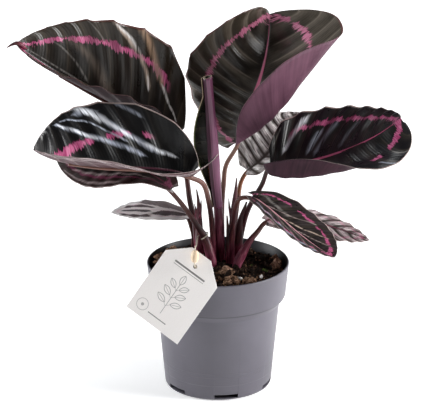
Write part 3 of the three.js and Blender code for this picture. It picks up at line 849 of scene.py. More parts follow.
@dataclass
class RolledLeaf:
    """Young leaf that is still rolled up, with one margin that stands open."""

    axis: Sequence[Point] = ((0, 11, 153), (-3.5, 5, 193), (-6, 0, 232), (-9, -4, 272))
    radii: Sequence[float] = (4.5, 5.4, 5.8, 5.4, 4.8, 4.6)
    stalk: Sequence[Point] = ((2.6, 17, 84), (1.9, 15.8, 105), (1.2, 13.6, 134))
    stalk_radii: Sequence[float] = (3.4, 4.2, 4.3, 4.3, 3.6, 1.2)
    reach: Sequence[float] = (0.0, 0.08, 0.16)
    start: float = 180.0
    turn: float = 420.0
    pitch: float = 1.6
    flap: float = 9.7
    flap_foot: float = 0.12
    flap_top: float = 0.86
    flap_span: float = 0.22
    slant: float = 1.0
    blade: float = 0.6
    pleats: int = 9

    def place(self, across: np.ndarray, along: np.ndarray) -> np.ndarray:
        """Points of the rolled blade, from its free outer margin inwards, and from foot to top."""
        angle = np.radians(self.start - self.turn * across)
        height = np.clip((along - self.flap_foot) / (self.flap_top - self.flap_foot), 0, 1)
        opened = np.clip(np.sin(math.pi * height ** 1.1), 0, 1)
        flap = self.flap * opened * np.clip(1 - across / self.flap_span, 0, None) ** 2
        radius = np.interp(along, np.linspace(0, 1, len(self.radii)), self.radii)
        radius = radius - self.pitch * across * self.turn / 360 + flap
        slant = self.slant * along ** 6 * np.cos(angle)
        offset = np.stack([radius * np.cos(angle), radius * np.sin(angle), slant], -1)
        return cubic(self.axis, along) + offset

    def build(self) -> bpy.types.Object:
        """Builds the roll on its stalk."""
        piece = grid_piece("leaf_rolled_blade", 60, 120, self.place)
        rust = Streak(((0.05, -0.8), (0.32, -0.76)), 0.9, 0.9, (0.3, 0.1, 0.03), 120.0, 20.0)
        tone = LeafTone(outer=(0.008, 0.009, 0.006), margin=(0.1, 0.13, 0.04), streaks=(rust,))
        plain = Marking(strength=0.0, midrib=0.0)
        piece.data.materials.append(LeafFace(plain, tone, self.pleats).material("roll_inside"))
        piece.data.materials.append(RollSkin().material("roll_outside"))
        piece.data.materials.append(RollLip().material("roll_lip"))
        apply_modifier(piece, "SOLIDIFY", thickness=self.blade * MM, offset=0.0, material_offset=1,
                       material_offset_rim=2)
        inside = cubic(self.axis, np.array(self.reach))
        path = [*self.stalk, *map(tuple, inside)]
        stalk = Tube(path, self.stalk_radii, 30, 20).build("leaf_rolled_stalk")
        skin = StalkSkin(body=(0.07, 0.016, 0.03), body_streaks_and_sheen=(0.22, 0.07, 0.1), node=(0.12, 0.035, 0.06),
                         foot_top=0.9)
        stalk.data.materials.append(skin.material("leaf_rolled_skin"))
        return hold(join("leaf_rolled_grown", piece, stalk), "underside", "leaf_rolled")


@dataclass(frozen=True)
class RollSkin:
    """Purple outside of the rolled leaf with painted shade on its left and painted light on its right, and
    a pale seam between.
    """

    dark: Colour = (0.035, 0.01, 0.02)
    light: Colour = (0.2, 0.055, 0.125)
    seam: Colour = (0.36, 0.14, 0.22)
    seam_at: float = 0.665

    def material(self, name: str) -> bpy.types.Material:
        """Builds the material."""
        graph = Graph(name)
        across, along = graph.uv()
        fibres = graph.noise(graph.pair(across * 40.0, along * 3.0), 1.0, 3.0)
        light = graph.mix(fibres.step(0.25, 0.8), tuple(0.5 * value for value in self.light), self.light)
        # Painted shade over the left side of the roll.
        left = across.step(self.seam_at - 0.015, self.seam_at + 0.02)
        base = graph.mix(left * 0.85, light, self.dark)
        line = (across - self.seam_at).size().step(0.002, 0.01, 1.0, 0.0)
        base = graph.mix(line * fibres, base, self.seam)
        relief = graph.bump(fibres, 0.15, strength=0.5)
        return graph.finish(Base_Color=base, Roughness=0.4, Normal=relief)


@dataclass(frozen=True)
class RollLip:
    """Cream margin round the top of the roll."""

    colour: Colour = (0.5, 0.36, 0.24)

    def material(self, name: str) -> bpy.types.Material:
        """Builds the material."""
        graph = Graph(name)
        clouds = graph.noise(graph.place(), 300.0)
        base = graph.mix(clouds, self.colour, tuple(0.4 * value for value in self.colour))
        return graph.finish(Base_Color=base, Roughness=0.5)


@dataclass
class Shoot:
    """Young shoot: a rolled sheath with a torn, open tip."""

    name: str
    path: Sequence[Point]
    radii: Sequence[float]
    tears: Sequence[Sequence[Point]]
    tear_radii: Sequence[float] = (1.7, 1.1, 0.2)

    def build(self) -> bpy.types.Object:
        """Builds the shoot in its solid's place, with the torn ends of its sheath."""
        tubes = [Tube(self.path, self.radii, 40, 20).build(self.name + "_grown")]
        for i, tear in enumerate(self.tears):
            tubes.append(Tube(tear, self.tear_radii, 14, 10).build(f"{self.name}_tear_{i}"))
        skin = StalkSkin(body=(0.075, 0.016, 0.024), body_streaks_and_sheen=(0.2, 0.06, 0.07),
                         node=(0.04, 0.016, 0.014))
        piece = join(self.name + "_grown", *tubes)
        piece.data.materials.append(skin.material(self.name + "_skin"))
        return hold(piece, "shoot", self.name)


@dataclass(frozen=True)
class PotPlastic:
    """Matte grey plastic with a purple cast, faint moulding rings near the base and handling marks, a
    painted shadow line in the crease under the rim and painted shade on the rim's inner wall.
    """

    colour: Colour = (0.112, 0.105, 0.128)
    worn: Colour = (0.17, 0.16, 0.19)
    rings: tuple[float, ...] = (0.0135, 0.021, 0.0245)
    rim_shadow_at: float = 0.0797
    rim_foot: tuple[float, float] = (0.0572, 0.081)
    rim_slope: float = 0.1
    skin: float = 0.0007
    inner_shade_share: float = 0.12

    def material(self, name: str) -> bpy.types.Material:
        """Builds the material."""
        graph = Graph(name)
        x, y, z = graph.axes()
        grain = graph.noise(graph.place(), 1500.0, 2.0)
        clouds = graph.noise(graph.place(), 25.0, 3.0)
        drawn = graph.noise(graph.pair(x * 60.0, y * 60.0, z * 900.0), 1.0, 3.0)
        base = graph.mix(clouds.step(0.25, 0.8), self.colour, tuple(0.84 * value for value in self.colour))
        base = graph.mix(drawn.step(0.66, 0.8) * 0.25, base, self.worn)
        # Painted shadow line in the crease under the rim.
        crease = (z - self.rim_shadow_at).size().step(0.0002, 0.0011, 1.0, 0.0)
        base = graph.mix(crease * 0.7, base, tuple(0.3 * value for value in self.colour))
        ring = (z - self.rings[0]).size().step(0.0001, 0.0007, 1.0, 0.0) * drawn.step(0.35, 0.6)
        base = graph.mix(ring * 0.35, base, self.worn)
        # Painted shade on the rim's inner wall, above the soil.
        radius = (x * x + y * y).root()
        wall = (z - self.rim_foot[1]) * self.rim_slope + (self.rim_foot[0] - self.skin)
        inside = (wall - radius).step(0.0, 0.0004) * z.step(self.rim_foot[1], self.rim_foot[1] + 0.004)
        base = graph.mix(inside, base, tuple(self.inner_shade_share * value for value in self.colour))
        relief = graph.bump(grain, 0.03, strength=0.4)
        for level in self.rings:
            relief = graph.bump((z - level).step(-0.0002, 0.0002), 0.25, relief, 0.8)
        gloss = clouds * 0.12 + 0.38
        return graph.finish(Base_Color=base, Roughness=gloss, Specular_IOR_Level=0.4, Normal=relief)


@dataclass
class Pot:
    """Nursery pot with a tall collar rim and drain slots through its bottom corner."""

    height: float = 109.0
    wall: float = 1.5
    floor: float = 1.8
    rim_radius: float = 60.0
    rim_foot_radius: float = 57.2
    rim_foot_height: float = 81.0
    neck_radius: float = 52.0
    neck_height: float = 73.5
    base_radius: float = 45.2
    corner: float = 2.5
    foot_round: float = 1.8
    lip_round: float = 0.8
    slots: int = 6
    slot_width: float = 20.0
    slot_bottom: float = 2.0
    slot_top: float = 5.4
    slot_turn: float = 9.0
    slot_inset: float = 1.0
    edge: float = 0.35
    steps: int = 144

    def outside(self) -> list[tuple[float, float]]:
        """Radius and height of the outside from the base up to the rim."""
        return [
            (self.base_radius - self.corner, 0.0),
            (self.base_radius - self.corner / 3, self.corner / 3),
            (self.base_radius, self.corner),
            (self.neck_radius, self.neck_height),
            (self.neck_radius + self.foot_round / 2, self.neck_height + self.foot_round),
            (self.rim_foot_radius - self.foot_round / 2, self.rim_foot_height - self.foot_round),
            (self.rim_foot_radius, self.rim_foot_height),
            (self.rim_radius, self.height - self.lip_round),
            (self.rim_radius - self.lip_round / 2, self.height),
        ]

    def inside(self) -> list[tuple[float, float]]:
        """Radius and height of the inside from the rim down to the floor's middle."""
        wall = [(radius - self.wall, height) for radius, height in self.outside()[2:-2]]
        foot = [(0.0, self.floor), (self.base_radius - self.corner - self.wall, self.floor)]
        return [*foot, *wall, (self.rim_radius - self.wall, self.height)][::-1]

    def slot_cutter(self, number: int) -> bpy.types.Object:
        """Block that cuts one drain slot through the bottom corner."""
        deselect()
        bpy.ops.mesh.primitive_cube_add(size=1)
        cutter = bpy.context.object
        depth, height = 2 * self.corner + self.wall, self.slot_top - self.slot_bottom
        block = Matrix.Diagonal((self.slot_width, depth, height, 1))
        seat = Matrix.Translation((0, self.slot_inset - self.base_radius, self.slot_bottom + height / 2))
        turn = Matrix.Rotation(math.radians(self.slot_turn + 360 * number / self.slots), 4, "Z")
        cutter.data.transform(Matrix.Scale(MM, 4) @ turn @ seat @ block)
        return cutter

    def build(self) -> bpy.types.Object:
        """Builds the pot in its solid's place."""
        piece = spun("nursery_pot", [(0.0, 0.0), *self.outside(), *self.inside()], self.steps)
        carve(piece, *[self.slot_cutter(i) for i in range(self.slots)])
        apply_modifier(piece, "BEVEL", width=self.edge * MM, segments=2, limit_method="ANGLE",
                       angle_limit=math.radians(20))
        activate(piece)
        bpy.ops.object.shade_smooth_by_angle(angle=math.radians(50))
        piece.data.materials.append(PotPlastic().material("pot_plastic"))
        return hold(piece, "pot", "pot")


def spun(name: str, profile: Sequence[tuple[float, float]], steps: int) -> bpy.types.Object:
    """Spins a profile round the Z axis into a closed piece.

    Args:
        name: Name of the new piece.
        profile: Radius and height of each point, in millimetres, from pole to pole.
        steps: Number of faces round the axis.

    Returns:
        The new mesh object.
    """
    deselect()
    bpy.ops.mesh.primitive_plane_add(size=MM)
    piece = bpy.context.object
    piece.name = piece.data.name = name
    bpy.ops.object.mode_set(mode="EDIT")
    bpy.ops.mesh.select_all(action="SELECT")
    bpy.ops.mesh.merge(type="CENTER")
    places = [Vector((radius, 0.0, height)) * MM for radius, height in profile]
    bpy.ops.transform.translate(value=places[0])
    for here, there in zip(places, places[1:]):
        bpy.ops.mesh.extrude_region_move(TRANSFORM_OT_translate={"value": there - here})
    bpy.ops.mesh.select_all(action="SELECT")
    bpy.ops.mesh.spin(steps=steps, angle=2 * math.pi, center=(0, 0, 0), axis=(0, 0, 1))
    bpy.ops.object.mode_set(mode="OBJECT")
    close_seams(piece)
    return piece


@dataclass(frozen=True)
class Peat:
    """Dark potting soil with brown crumbs."""

    dark: Colour = (0.006, 0.0035, 0.0025)
    light: Colour = (0.09, 0.045, 0.025)

    def material(self, name: str) -> bpy.types.Material:
        """Builds the material."""
        graph = Graph(name)
        crumbs = graph.noise(graph.place(), 420.0, 6.0, 0.7)
        clouds = graph.noise(graph.place(), 90.0, 3.0)
        base = graph.mix(crumbs.step(0.45, 0.75) * clouds.step(0.35, 0.7), self.dark, self.light)
        relief = graph.bump(crumbs, 1.2)
        return graph.finish(Base_Color=base, Roughness=0.95, Specular_IOR_Level=0.12, Normal=relief)


@dataclass(frozen=True)
class Crumbs:
    """One kind of crumb that lies on the soil, and where it lies.

    A patch is a place on the soil with its radius, and no patch means everywhere.
    """

    name: str
    count: int
    sizes: tuple[float, float]
    dark: Colour
    light: Colour
    patches: tuple[Point, ...] = ()
    pile: float = 0.0
    fibre: bool = False
    reach: float = 53.5

    def model(self) -> bpy.types.Object:
        """Builds one crumb or one fibre, a millimetre across, round the origin."""
        if self.fibre:
            return Tube([(-2.6, 0.3, -0.2), (-0.9, -0.3, 0.4), (0.8, 0.35, 0.3), (2.6, -0.2, -0.3)],
                        [0.09, 0.16, 0.14, 0.06], 7, 5).build("fibre")
        deselect()
        bpy.ops.mesh.primitive_ico_sphere_add(subdivisions=2, radius=0.5 * MM)
        crumb = bpy.context.object
        for vertex in crumb.data.vertices:
            rough = noise.noise(vertex.co * 2600 + Vector((len(self.name), 0, 0)))
            vertex.co *= 1 + 0.55 * rough
        return crumb

    def places(self, soil: "Soil", chance: random.Random) -> list[Matrix]:
        """Place, turn and scale of each crumb."""
        found = []
        while len(found) < self.count:
            x0, y0, spread = chance.choice(self.patches) if self.patches else (0.0, 0.0, self.reach)
            radius, angle = spread * math.sqrt(chance.random()), 2 * math.pi * chance.random()
            x, y = x0 + radius * math.cos(angle), y0 + radius * math.sin(angle)
            if math.hypot(x, y) > self.reach:
                continue
            size = chance.uniform(*self.sizes)
            rise = self.pile * max(0.0, 1 - radius / spread) * chance.random()
            z = float(soil.height(np.array([x]), np.array([y]))[0]) + 0.25 * size + rise
            tilt = 0.5 if self.fibre else math.pi
            turn = Matrix.Rotation(chance.uniform(0, 2 * math.pi), 4, "Z")
            turn = turn @ Matrix.Rotation(chance.uniform(-tilt, tilt), 4, "Y")
            scale = Matrix.Diagonal([size * chance.uniform(0.7, 1.3) for _ in range(3)] + [1])
            found.append(Matrix.Translation(Vector((x, y, z)) * MM) @ turn @ scale)
        return found

    def build(self, soil: "Soil", chance: random.Random) -> bpy.types.Object:
        """Builds all crumbs of this kind as one piece."""
        piece = scatter("soil_" + self.name, self.model(), self.places(soil, chance))
        graph = Graph(self.name)
        clouds = graph.noise(graph.place(), 500.0, 3.0)
        fine = graph.noise(graph.place(), 3000.0, 3.0)
        base = graph.mix((clouds * 0.6 + fine * 0.4).step(0.35, 0.65), self.dark, self.light)
        relief = graph.bump(fine, 0.3)
        finish = graph.finish(Base_Color=base, Roughness=0.95, Specular_IOR_Level=0.15, Normal=relief)
        piece.data.materials.append(finish)
        return hold(piece, "soil")


CRUMBS = (
    Crumbs("peat_crumbs", 420, (1.2, 3.6), (0.006, 0.0035, 0.0025), (0.05, 0.026, 0.016)),
    Crumbs("peat_clods", 60, (3.5, 6.5), (0.004, 0.0025, 0.002), (0.026, 0.013, 0.008), reach=51.0),
    Crumbs("bark_crumbs", 190, (0.9, 2.6), (0.03, 0.016, 0.01), (0.24, 0.13, 0.08)),
    Crumbs("brown_clods", 190, (2.0, 4.6), (0.04, 0.02, 0.012), (0.42, 0.25, 0.16),
           ((52, 12, 6), (51, 4, 6), (50, 20, 5), (6, -17, 6), (12, -36, 7), (27, -36, 6), (-43, 34, 7),
            (-51, 20, 6), (-52, 8, 6)), 6.0),
    Crumbs("tan_chips", 60, (1.6, 3.6), (0.2, 0.1, 0.07), (0.62, 0.4, 0.3),
           ((53, 9, 5), (6, -15, 4), (-46, 32, 4), (13, -35, 4)), 6.0),
    Crumbs("wood_chunks", 16, (4.0, 7.5), (0.12, 0.06, 0.035), (0.6, 0.37, 0.27),
           ((50.5, 10, 4), (50.5, 5, 4), (50, 7, 3), (7, -16, 3)), 5.0, reach=51.5),
    Crumbs("coir", 170, (0.7, 1.4), (0.1, 0.05, 0.022), (0.42, 0.25, 0.14),
           ((52.5, 8, 7), (6, -17, 7), (-43, 34, 8), (-50, 20, 6), (12, -36, 8), (28, -34, 7)), 5.0, True),
    Crumbs("grit", 11, (1.6, 3.0), (0.6, 0.58, 0.56), (0.95, 0.93, 0.9),
           ((18.4, -23.4, 2.2), (19, -24, 2), (36.9, -22.1, 1.5), (-20, 50, 4)), 1.5),
    Crumbs("moss", 30, (1.0, 2.2), (0.01, 0.014, 0.004), (0.09, 0.12, 0.03),
           ((40, -6, 3.5), (28, 3, 2.5)), 1.5),
)


@dataclass
class Soil:
    """Potting soil: clods on a low mound, with fibres, grit and moss."""

    level: float = 104.0
    radius: float = 57.2
    edge_drop: float = 1.5
    slope: float = 2.5
    clods: float = 1.2
    crumb: float = 3.0
    crumb_height: float = 1.1
    mouth: float = 56.4
    bottom: float = 2.6
    bottom_radius: float = 38.0
    rings: int = 90
    sides: int = 160
    seed: int = 12

    def height(self, x: np.ndarray, y: np.ndarray) -> np.ndarray:
        """Height of the soil's surface."""
        edge = (np.hypot(x, y) / self.radius) ** 4
        clods = np.sin(x / 5 + 1) * np.cos(y / 4.3) + 0.6 * np.sin((x + 1.7 * y) / 3.1)
        places = [Vector((a / self.crumb, b / self.crumb, 0.0)) for a, b in zip(x, y)]
        crumbs = np.array([noise.fractal(place, 0.7, 2.0, 4) for place in places])
        level = self.level - self.edge_drop * edge - self.slope * x / self.radius
        return level + self.clods * clods + self.crumb_height * crumbs

    def place(self, around: np.ndarray, along: np.ndarray) -> np.ndarray:
        """Points of the soil, from the middle of its top over the edge to the middle of its bottom."""
        angle = 2 * math.pi * around
        top = np.clip(along / 0.8, 0, 1)
        down = np.clip((along - 0.8) / 0.1, 0, 1)
        in_again = np.clip((along - 0.9) / 0.1, 0, 1)
        radius = self.mouth * top + (self.bottom_radius - self.mouth) * down - self.bottom_radius * in_again
        x, y = radius * np.cos(angle), radius * np.sin(angle)
        z = self.height(x, y) * (1 - down) + self.bottom * down
        return np.stack([x, y, z], -1)

    def build(self) -> bpy.types.Object:
        """Builds the soil in its solid's place."""
        piece = grid_piece("potting_soil", self.rings, self.sides, self.place)
        close_seams(piece)
        piece.data.materials.append(Peat().material("peat"))
        hold(piece, "soil", "soil")
        chance = random.Random(self.seed)
        for kind in CRUMBS:
            kind.build(self, chance)
        return piece


@dataclass(frozen=True)
class CardPrint:
    """Grey line print of a plain sprig under two rules, on pale fibrous paper."""

    paper: Colour = (0.95, 0.91, 0.89)
    shade: Colour = (0.84, 0.79, 0.76)
    ink: Colour = (0.075, 0.07, 0.072)
    line: float = 0.46
    badge: Point = (-16.5, -26.5, 5.0)
    leaves: tuple[tuple[float, float, float, float, float], ...] = (
        (0.0, 9.5, 90, 4.6, 2.3), (5.4, 3.6, 38, 4.4, 2.1), (-5.4, 3.2, 142, 4.4, 2.1),
        (6.4, -3.6, 30, 4.8, 2.3), (-6.4, -4.4, 150, 4.8, 2.3), (7.0, -11.4, 22, 5.0, 2.3),
        (-7.0, -12.4, 158, 5.0, 2.3),
    )

    def stroke(self, x: Term, z: Term, start: tuple[float, float], end: tuple[float, float],
               width: float) -> Term:
        """Straight stroke between two points of the card."""
        run = math.dist(start, end)
        c, n = (end[0] - start[0]) / run, (end[1] - start[1]) / run
        along = (x - start[0]) * c + (z - start[1]) * n
        across = ((z - start[1]) * c - (x - start[0]) * n).size()
        return across.step(0.4 * width, 0.6 * width, 1.0, 0.0) * (along - run / 2).size().step(
            run / 2 - 0.1, run / 2 + 0.1, 1.0, 0.0)

    def leaf(self, x: Term, z: Term, sizes: tuple[float, float, float, float, float]) -> Term:
        """Outline and midrib of a pointed leaf."""
        x0, z0, angle, length, width = sizes
        c, n = math.cos(math.radians(angle)), math.sin(math.radians(angle))
        along = (x - x0) * c + (z - z0) * n
        across = ((z - z0) * c - (x - x0) * n).size()
        share = along / length
        off = (across - (1 - share * share) * width).size().least(across * 1.5)
        inside = share.size().step(0.97, 1.02, 1.0, 0.0)
        return off.step(0.4 * self.line, 0.75 * self.line, 1.0, 0.0) * inside

    def material(self, name: str, frame: Matrix) -> bpy.types.Material:
        """Builds the material for a card at a place."""
        graph = Graph(name)
        place = graph.place()
        middle = frame.translation
        axes = [frame.col[i].to_3d() for i in (0, 1, 2)]
        x, depth, z = ((graph.dot(place, axis) - middle.dot(axis)) * (1 / MM) for axis in axes)
        fibres = graph.noise(graph.pair(x * 0.8, z * 2.4), 1.0, 5.0, 0.65)
        specks = graph.noise(graph.pair(x * 3.0, z * 3.0), 1.0, 2.0)
        base = graph.mix(fibres.step(0.4, 0.75) * 0.6, self.paper, self.shade)
        base = graph.mix(specks.step(0.68, 0.74) * 0.35, base, (0.4, 0.34, 0.28))
        marks = self.stroke(x, z, (-15, 19.5), (15, 19.5), 1.5)
        marks = marks.most(self.stroke(x, z, (-15, 17.2), (15, 17.2), 0.4))
        marks = marks.most(self.stroke(x, z, (-9, -29), (9, -29), 0.8))
        marks = marks.most(self.stroke(x, z, (0, -24), (0, 5.5), 0.5) * 0.8)
        right, rise = x - self.badge[0], z - self.badge[1]
        badge = (right * right + rise * rise).root()
        marks = marks.most((badge - self.badge[2]).size().step(0.12, 0.3, 1.0, 0.0) * 0.7)
        marks = marks.most(badge.step(1.2, 1.5, 1.0, 0.0) * 0.7)
        for sizes in self.leaves:
            marks = marks.most(self.leaf(x, z, sizes) * 0.85)
            foot = (0.0, sizes[1] - 4.5)
            marks = marks.most(self.stroke(x, z, foot, (sizes[0] * 0.4, sizes[1] - 2.0), 0.35) * 0.7)
        front = depth.step(-0.4, -0.3, 1.0, 0.0)
        base = graph.mix(marks * front * (specks * 0.5 + 0.6), base, self.ink)
        relief = graph.bump(fibres, 0.05, strength=0.6)
        return graph.finish(Base_Color=base, Roughness=0.85, Specular_IOR_Level=0.3, Normal=relief)


@dataclass
class Tag:
    """Paper tag on its string, with a wooden bead in front and the string's knot behind."""

    centre: Point = (-34.1, -55.8, 104.7)
    lean: float = 16.0
    turn: float = 12.0
    roll: float = 32.0
    thickness: float = 0.8
    hole: tuple[float, float] = (1.6, 25.0)
    clearance: float = 0.3
    bead_at: tuple[float, float] = (-3.0, 32.5)
    bead_radius: float = 3.5
    bead_end: float = 1.6
    bead_height: float = 10.0
    bead_bore: float = 1.0
    knot_radius: float = 2.1
    knot_turns: Sequence[tuple[float, float]] = ((15, 0), (75, 60), (80, -60))
    diameter: float = 1.0
    route: Sequence[Point] = (
        (-14.1, -1.1, 128.8), (-11.7, -1.7, 130.4), (-9.5, -0.4, 131.9), (-8.5, 2.2, 132.8),
        (-9.2, 5.1, 132.9), (-11.3, 7, 132.1), (-14, 7.2, 130.8), (-16.2, 5.6, 129.7),
        (-17, 2.8, 129.3), (-17.4, -5, 129.8), (-17.7, -18, 131.8), (-18, -30, 134.4),
        (-18.2, -40, 137.2), (-18.4, -48, 140.4), (-18.5, -51.5, 141.3), (-18.6, -53.3, 139.9),
        (-18.7, -53.9, 137.7), (-18.9, -54.9, 133.9), (-19.1, -56, 130), (-19.2, -56.3, 127.9),
        (-19.1, -55.6, 125.6), (-18.8, -54.3, 124.5), (-18.6, -53, 124.2),
    )

    def frame(self) -> Matrix:
        """Place of the card's own frame, with its face to the front and its top up."""
        lean, turn, roll = (math.radians(value) for value in (self.lean, self.turn, self.roll))
        turned = Matrix.Rotation(-turn, 4, "Z") @ Matrix.Rotation(-lean, 4, "X")
        return Matrix.Translation(Vector(self.centre) * MM) @ turned @ Matrix.Rotation(roll, 4, "Y")

    def print_card(self) -> bpy.types.Object:
        """Gives the card's own solid its paper and its print."""
        piece = bpy.data.objects["tag_card"]
        piece.data.materials.clear()
        piece.data.materials.append(CardPrint().material("card_print", self.frame()))
        return piece

    def build_bead(self) -> bpy.types.Object:
        """Builds the wooden bead, with its axis upright."""
        half, end = self.bead_height / 2, math.acos(self.bead_end / self.bead_radius)
        angles = np.linspace(-end, end, 19)
        barrel = [(self.bead_radius * math.cos(angle), half * math.sin(angle) / math.sin(end))
                  for angle in angles]
        bore = [(self.bead_bore, half), (self.bead_bore, -half)]
        piece = spun("wooden_bead", [bore[1], *barrel, *bore], 40)
        activate(piece)
        bpy.ops.object.shade_smooth_by_angle(angle=math.radians(40))
        out = -self.thickness / 2 - self.clearance - self.bead_radius
        seat = Matrix.Translation(Vector((self.bead_at[0], out, self.bead_at[1])) * MM)
        piece.data.transform(self.frame() @ seat @ Matrix.Rotation(-math.radians(self.roll), 4, "Y"))
        graph = Graph("bead_wood")
        x, y, z = graph.axes()
        grain = graph.noise(graph.pair(x * 900.0, y * 900.0, z * 90.0), 1.0, 4.0)
        base = graph.mix(grain.step(0.35, 0.7), (0.8, 0.64, 0.46), (0.6, 0.43, 0.28))
        finish = graph.finish(Base_Color=base, Roughness=0.5, Normal=graph.bump(grain, 0.06))
        piece.data.materials.append(finish)
        return hold(piece, "bead", "tag_bead")

    def build_knot(self) -> bpy.types.Object:
        """Builds the knot behind the card as three turns of string."""
        turns = []
        loop = self.knot_radius - 0.7 * self.diameter
        for tilt, lie in self.knot_turns:
            deselect()
            bpy.ops.mesh.primitive_torus_add(major_segments=24, minor_segments=8, major_radius=loop * MM,
                                             minor_radius=0.5 * self.diameter * MM)
            turn = bpy.context.object
            laid = Matrix.Rotation(math.radians(lie), 4, "Y")
            turn.data.transform(laid @ Matrix.Rotation(math.radians(tilt), 4, "X"))
            turns.append(turn)
        piece = join("string_knot", *turns)
        bpy.ops.object.shade_smooth()
        out = self.thickness / 2 + self.clearance + self.knot_radius
        seat = Matrix.Translation(Vector((self.hole[0], out, self.hole[1])) * MM)
        piece.data.transform(self.frame() @ seat)
        piece.data.materials.append(self.twine("knot_twine"))
        return hold(piece, "string", "tag_knot")

    @staticmethod
    def twine(name: str) -> bpy.types.Material:
        """Builds the finish of undyed string."""
        graph = Graph(name)
        fibres = graph.noise(graph.place(), 1400.0, 3.0)
        base = graph.mix(fibres, (0.35, 0.29, 0.22), (0.75, 0.68, 0.57))
        return graph.finish(Base_Color=base, Roughness=0.9, Normal=graph.bump(fibres, 0.2))

    def build_string(self) -> bpy.types.Object:
        deselect()
        bpy.ops.curve.primitive_nurbs_path_add(radius=MM)
        piece = bpy.context.object
        piece.name = piece.data.name = "tag_twine"
        centres = Tube(self.route, [1.0]).centres(np.linspace(0, 1, 160)) * MM
        piece.data.splines.clear()
        spline = piece.data.splines.new("POLY")
        spline.points.add(len(centres) - 1)
        for point, centre in zip(spline.points, centres):
            point.co = (*centre, 1.0)
        piece.data.dimensions = "3D"
        piece.data.bevel_depth = self.diameter / 2 * MM
        piece.data.bevel_resolution = 4
        piece.data.use_fill_caps = True
        piece.data.materials.append(self.twine("twine"))
        hold(piece, "string", "tag_string")
        tied = [self.print_card(), self.build_bead(), self.build_knot()]
        return piece


@dataclass
class Camera:
    """Camera at the photograph's viewing angle."""

    distance: float = 2200.0
    elevation: float = 20.85
    pitch: float = 19.62
    target: Point = (1.7, 0.0, 109.0)
    pixels: float = 2604.8
    width: float = 440.0
    sensor: float = 36.0

    def build(self) -> None:
        """Adds the camera and makes it the scene's own."""
        rise = math.radians(self.elevation)
        place = Vector(self.target) + self.distance * Vector((0, -math.cos(rise), math.sin(rise)))
        turn = (math.radians(90 - self.pitch), 0, 0)
        deselect()
        bpy.ops.object.camera_add(location=place * MM, rotation=turn)
        camera = bpy.context.object
        camera.data.sensor_width = self.sensor
        camera.data.lens = self.pixels / self.width * self.sensor
        camera.data.clip_end = 20.0
        bpy.context.scene.camera = camera


@dataclass(frozen=True)
class SoftBox:
    """Soft box that faces the plant: where it stands, in metres, its sides and its radiance."""

    name: str
    place: Point
    sides: tuple[float, float]
    radiance: float
    colour: Colour = (1.0, 1.0, 1.0)

    def build(self, aim: Vector) -> None:
        """Adds the light, turned to the point that it aims at."""
        deselect()
        bpy.ops.object.light_add(type="AREA", location=self.place)
        lamp = bpy.context.object
        lamp.name = lamp.data.name = self.name
        lamp.data.shape = "RECTANGLE"
        lamp.data.size, lamp.data.size_y = self.sides
        lamp.data.energy = math.pi * self.sides[0] * self.sides[1] * self.radiance
        lamp.data.color = self.colour
        lamp.rotation_euler = (aim - Vector(self.place)).to_track_quat("-Z", "Y").to_euler()


@dataclass
class Studio:
    """White table in a studio that is dim at the camera's side, with soft boxes at both sides."""

    floor_size: float = 12.0
    floor_glow: float = 0.4
    front: float = 0.06
    back: float = 0.16
    boxes: Sequence[SoftBox] = (
        SoftBox("left_box", (-1.3, 0.15, 0.6), (0.5, 0.9), 13.0, (0.95, 0.98, 1.0)),
        SoftBox("right_box", (1.3, -0.2, 0.6), (0.6, 1.0), 18.0),
        SoftBox("top_box", (-0.25, 0.1, 1.5), (0.9, 0.5), 5.0, (0.95, 0.98, 1.0)),
    )

    def build(self) -> None:
        """Adds the floor, the world and the lights."""
        deselect()
        bpy.ops.mesh.primitive_plane_add(size=self.floor_size)
        floor = bpy.context.object
        floor.name = "floor"
        graph = Graph("floor_paper")
        x, y, _ = graph.axes()
        far = (x * x + y * y).root().step(0.3, 1.2)
        glow = graph.mix(far, (self.floor_glow,) * 3, (1.0, 1.0, 1.0))
        paper = graph.finish(Base_Color=(0.9, 0.9, 0.9), Roughness=0.9, Emission_Color=glow,
                             Emission_Strength=1.0)
        floor.data.materials.append(paper)
        bpy.context.scene.world = self.world()
        for box in self.boxes:
            box.build(Vector((0.0, 0.0, 0.18)))
        bpy.context.scene.view_settings.view_transform = "Standard"

    def world(self) -> bpy.types.World:
        """Builds a world that goes from dim at the front to bright at the back."""
        world = bpy.data.worlds.new("studio")
        world.use_nodes = True
        nodes, links = world.node_tree.nodes, world.node_tree.links
        direction = nodes.new("ShaderNodeTexCoord")
        parts = nodes.new("ShaderNodeSeparateXYZ")
        share = nodes.new("ShaderNodeMapRange")
        share.interpolation_type = "SMOOTHSTEP"
        values = {"From Min": -0.6, "From Max": 0.8, "To Min": self.front, "To Max": self.back}
        for key, value in values.items():
            share.inputs[key].default_value = value
        links.new(direction.outputs["Generated"], parts.inputs[0])
        links.new(parts.outputs["Y"], share.inputs["Value"])
        links.new(share.outputs["Result"], nodes["Background"].inputs["Strength"])
        nodes["Background"].inputs["Color"].default_value = (1, 1, 1, 1)
        return world


# Pale colours below are painted highlights and sheen on the leaves, one of which also colours their pale
# margins; the last three are dark leaf colours.
TAN_SHEEN = (0.5, 0.33, 0.22)
ASH_SHEEN = (0.3, 0.28, 0.26)
PALE_RIM_AND_HIGHLIGHT = (0.42, 0.33, 0.31)
SAND_SHEEN = (0.6, 0.47, 0.38)
SILVER_HIGHLIGHT = (0.85, 0.82, 0.8)
BLUE_HIGHLIGHT = (0.5, 0.54, 0.64)
MIST_SHEEN = (0.46, 0.36, 0.36)
WHITE_HIGHLIGHT = (0.88, 0.9, 0.95)
DUSK = (0.02, 0.015, 0.016)
WINE = (0.036, 0.01, 0.014)
NIGHT = (0.006, 0.006, 0.008)

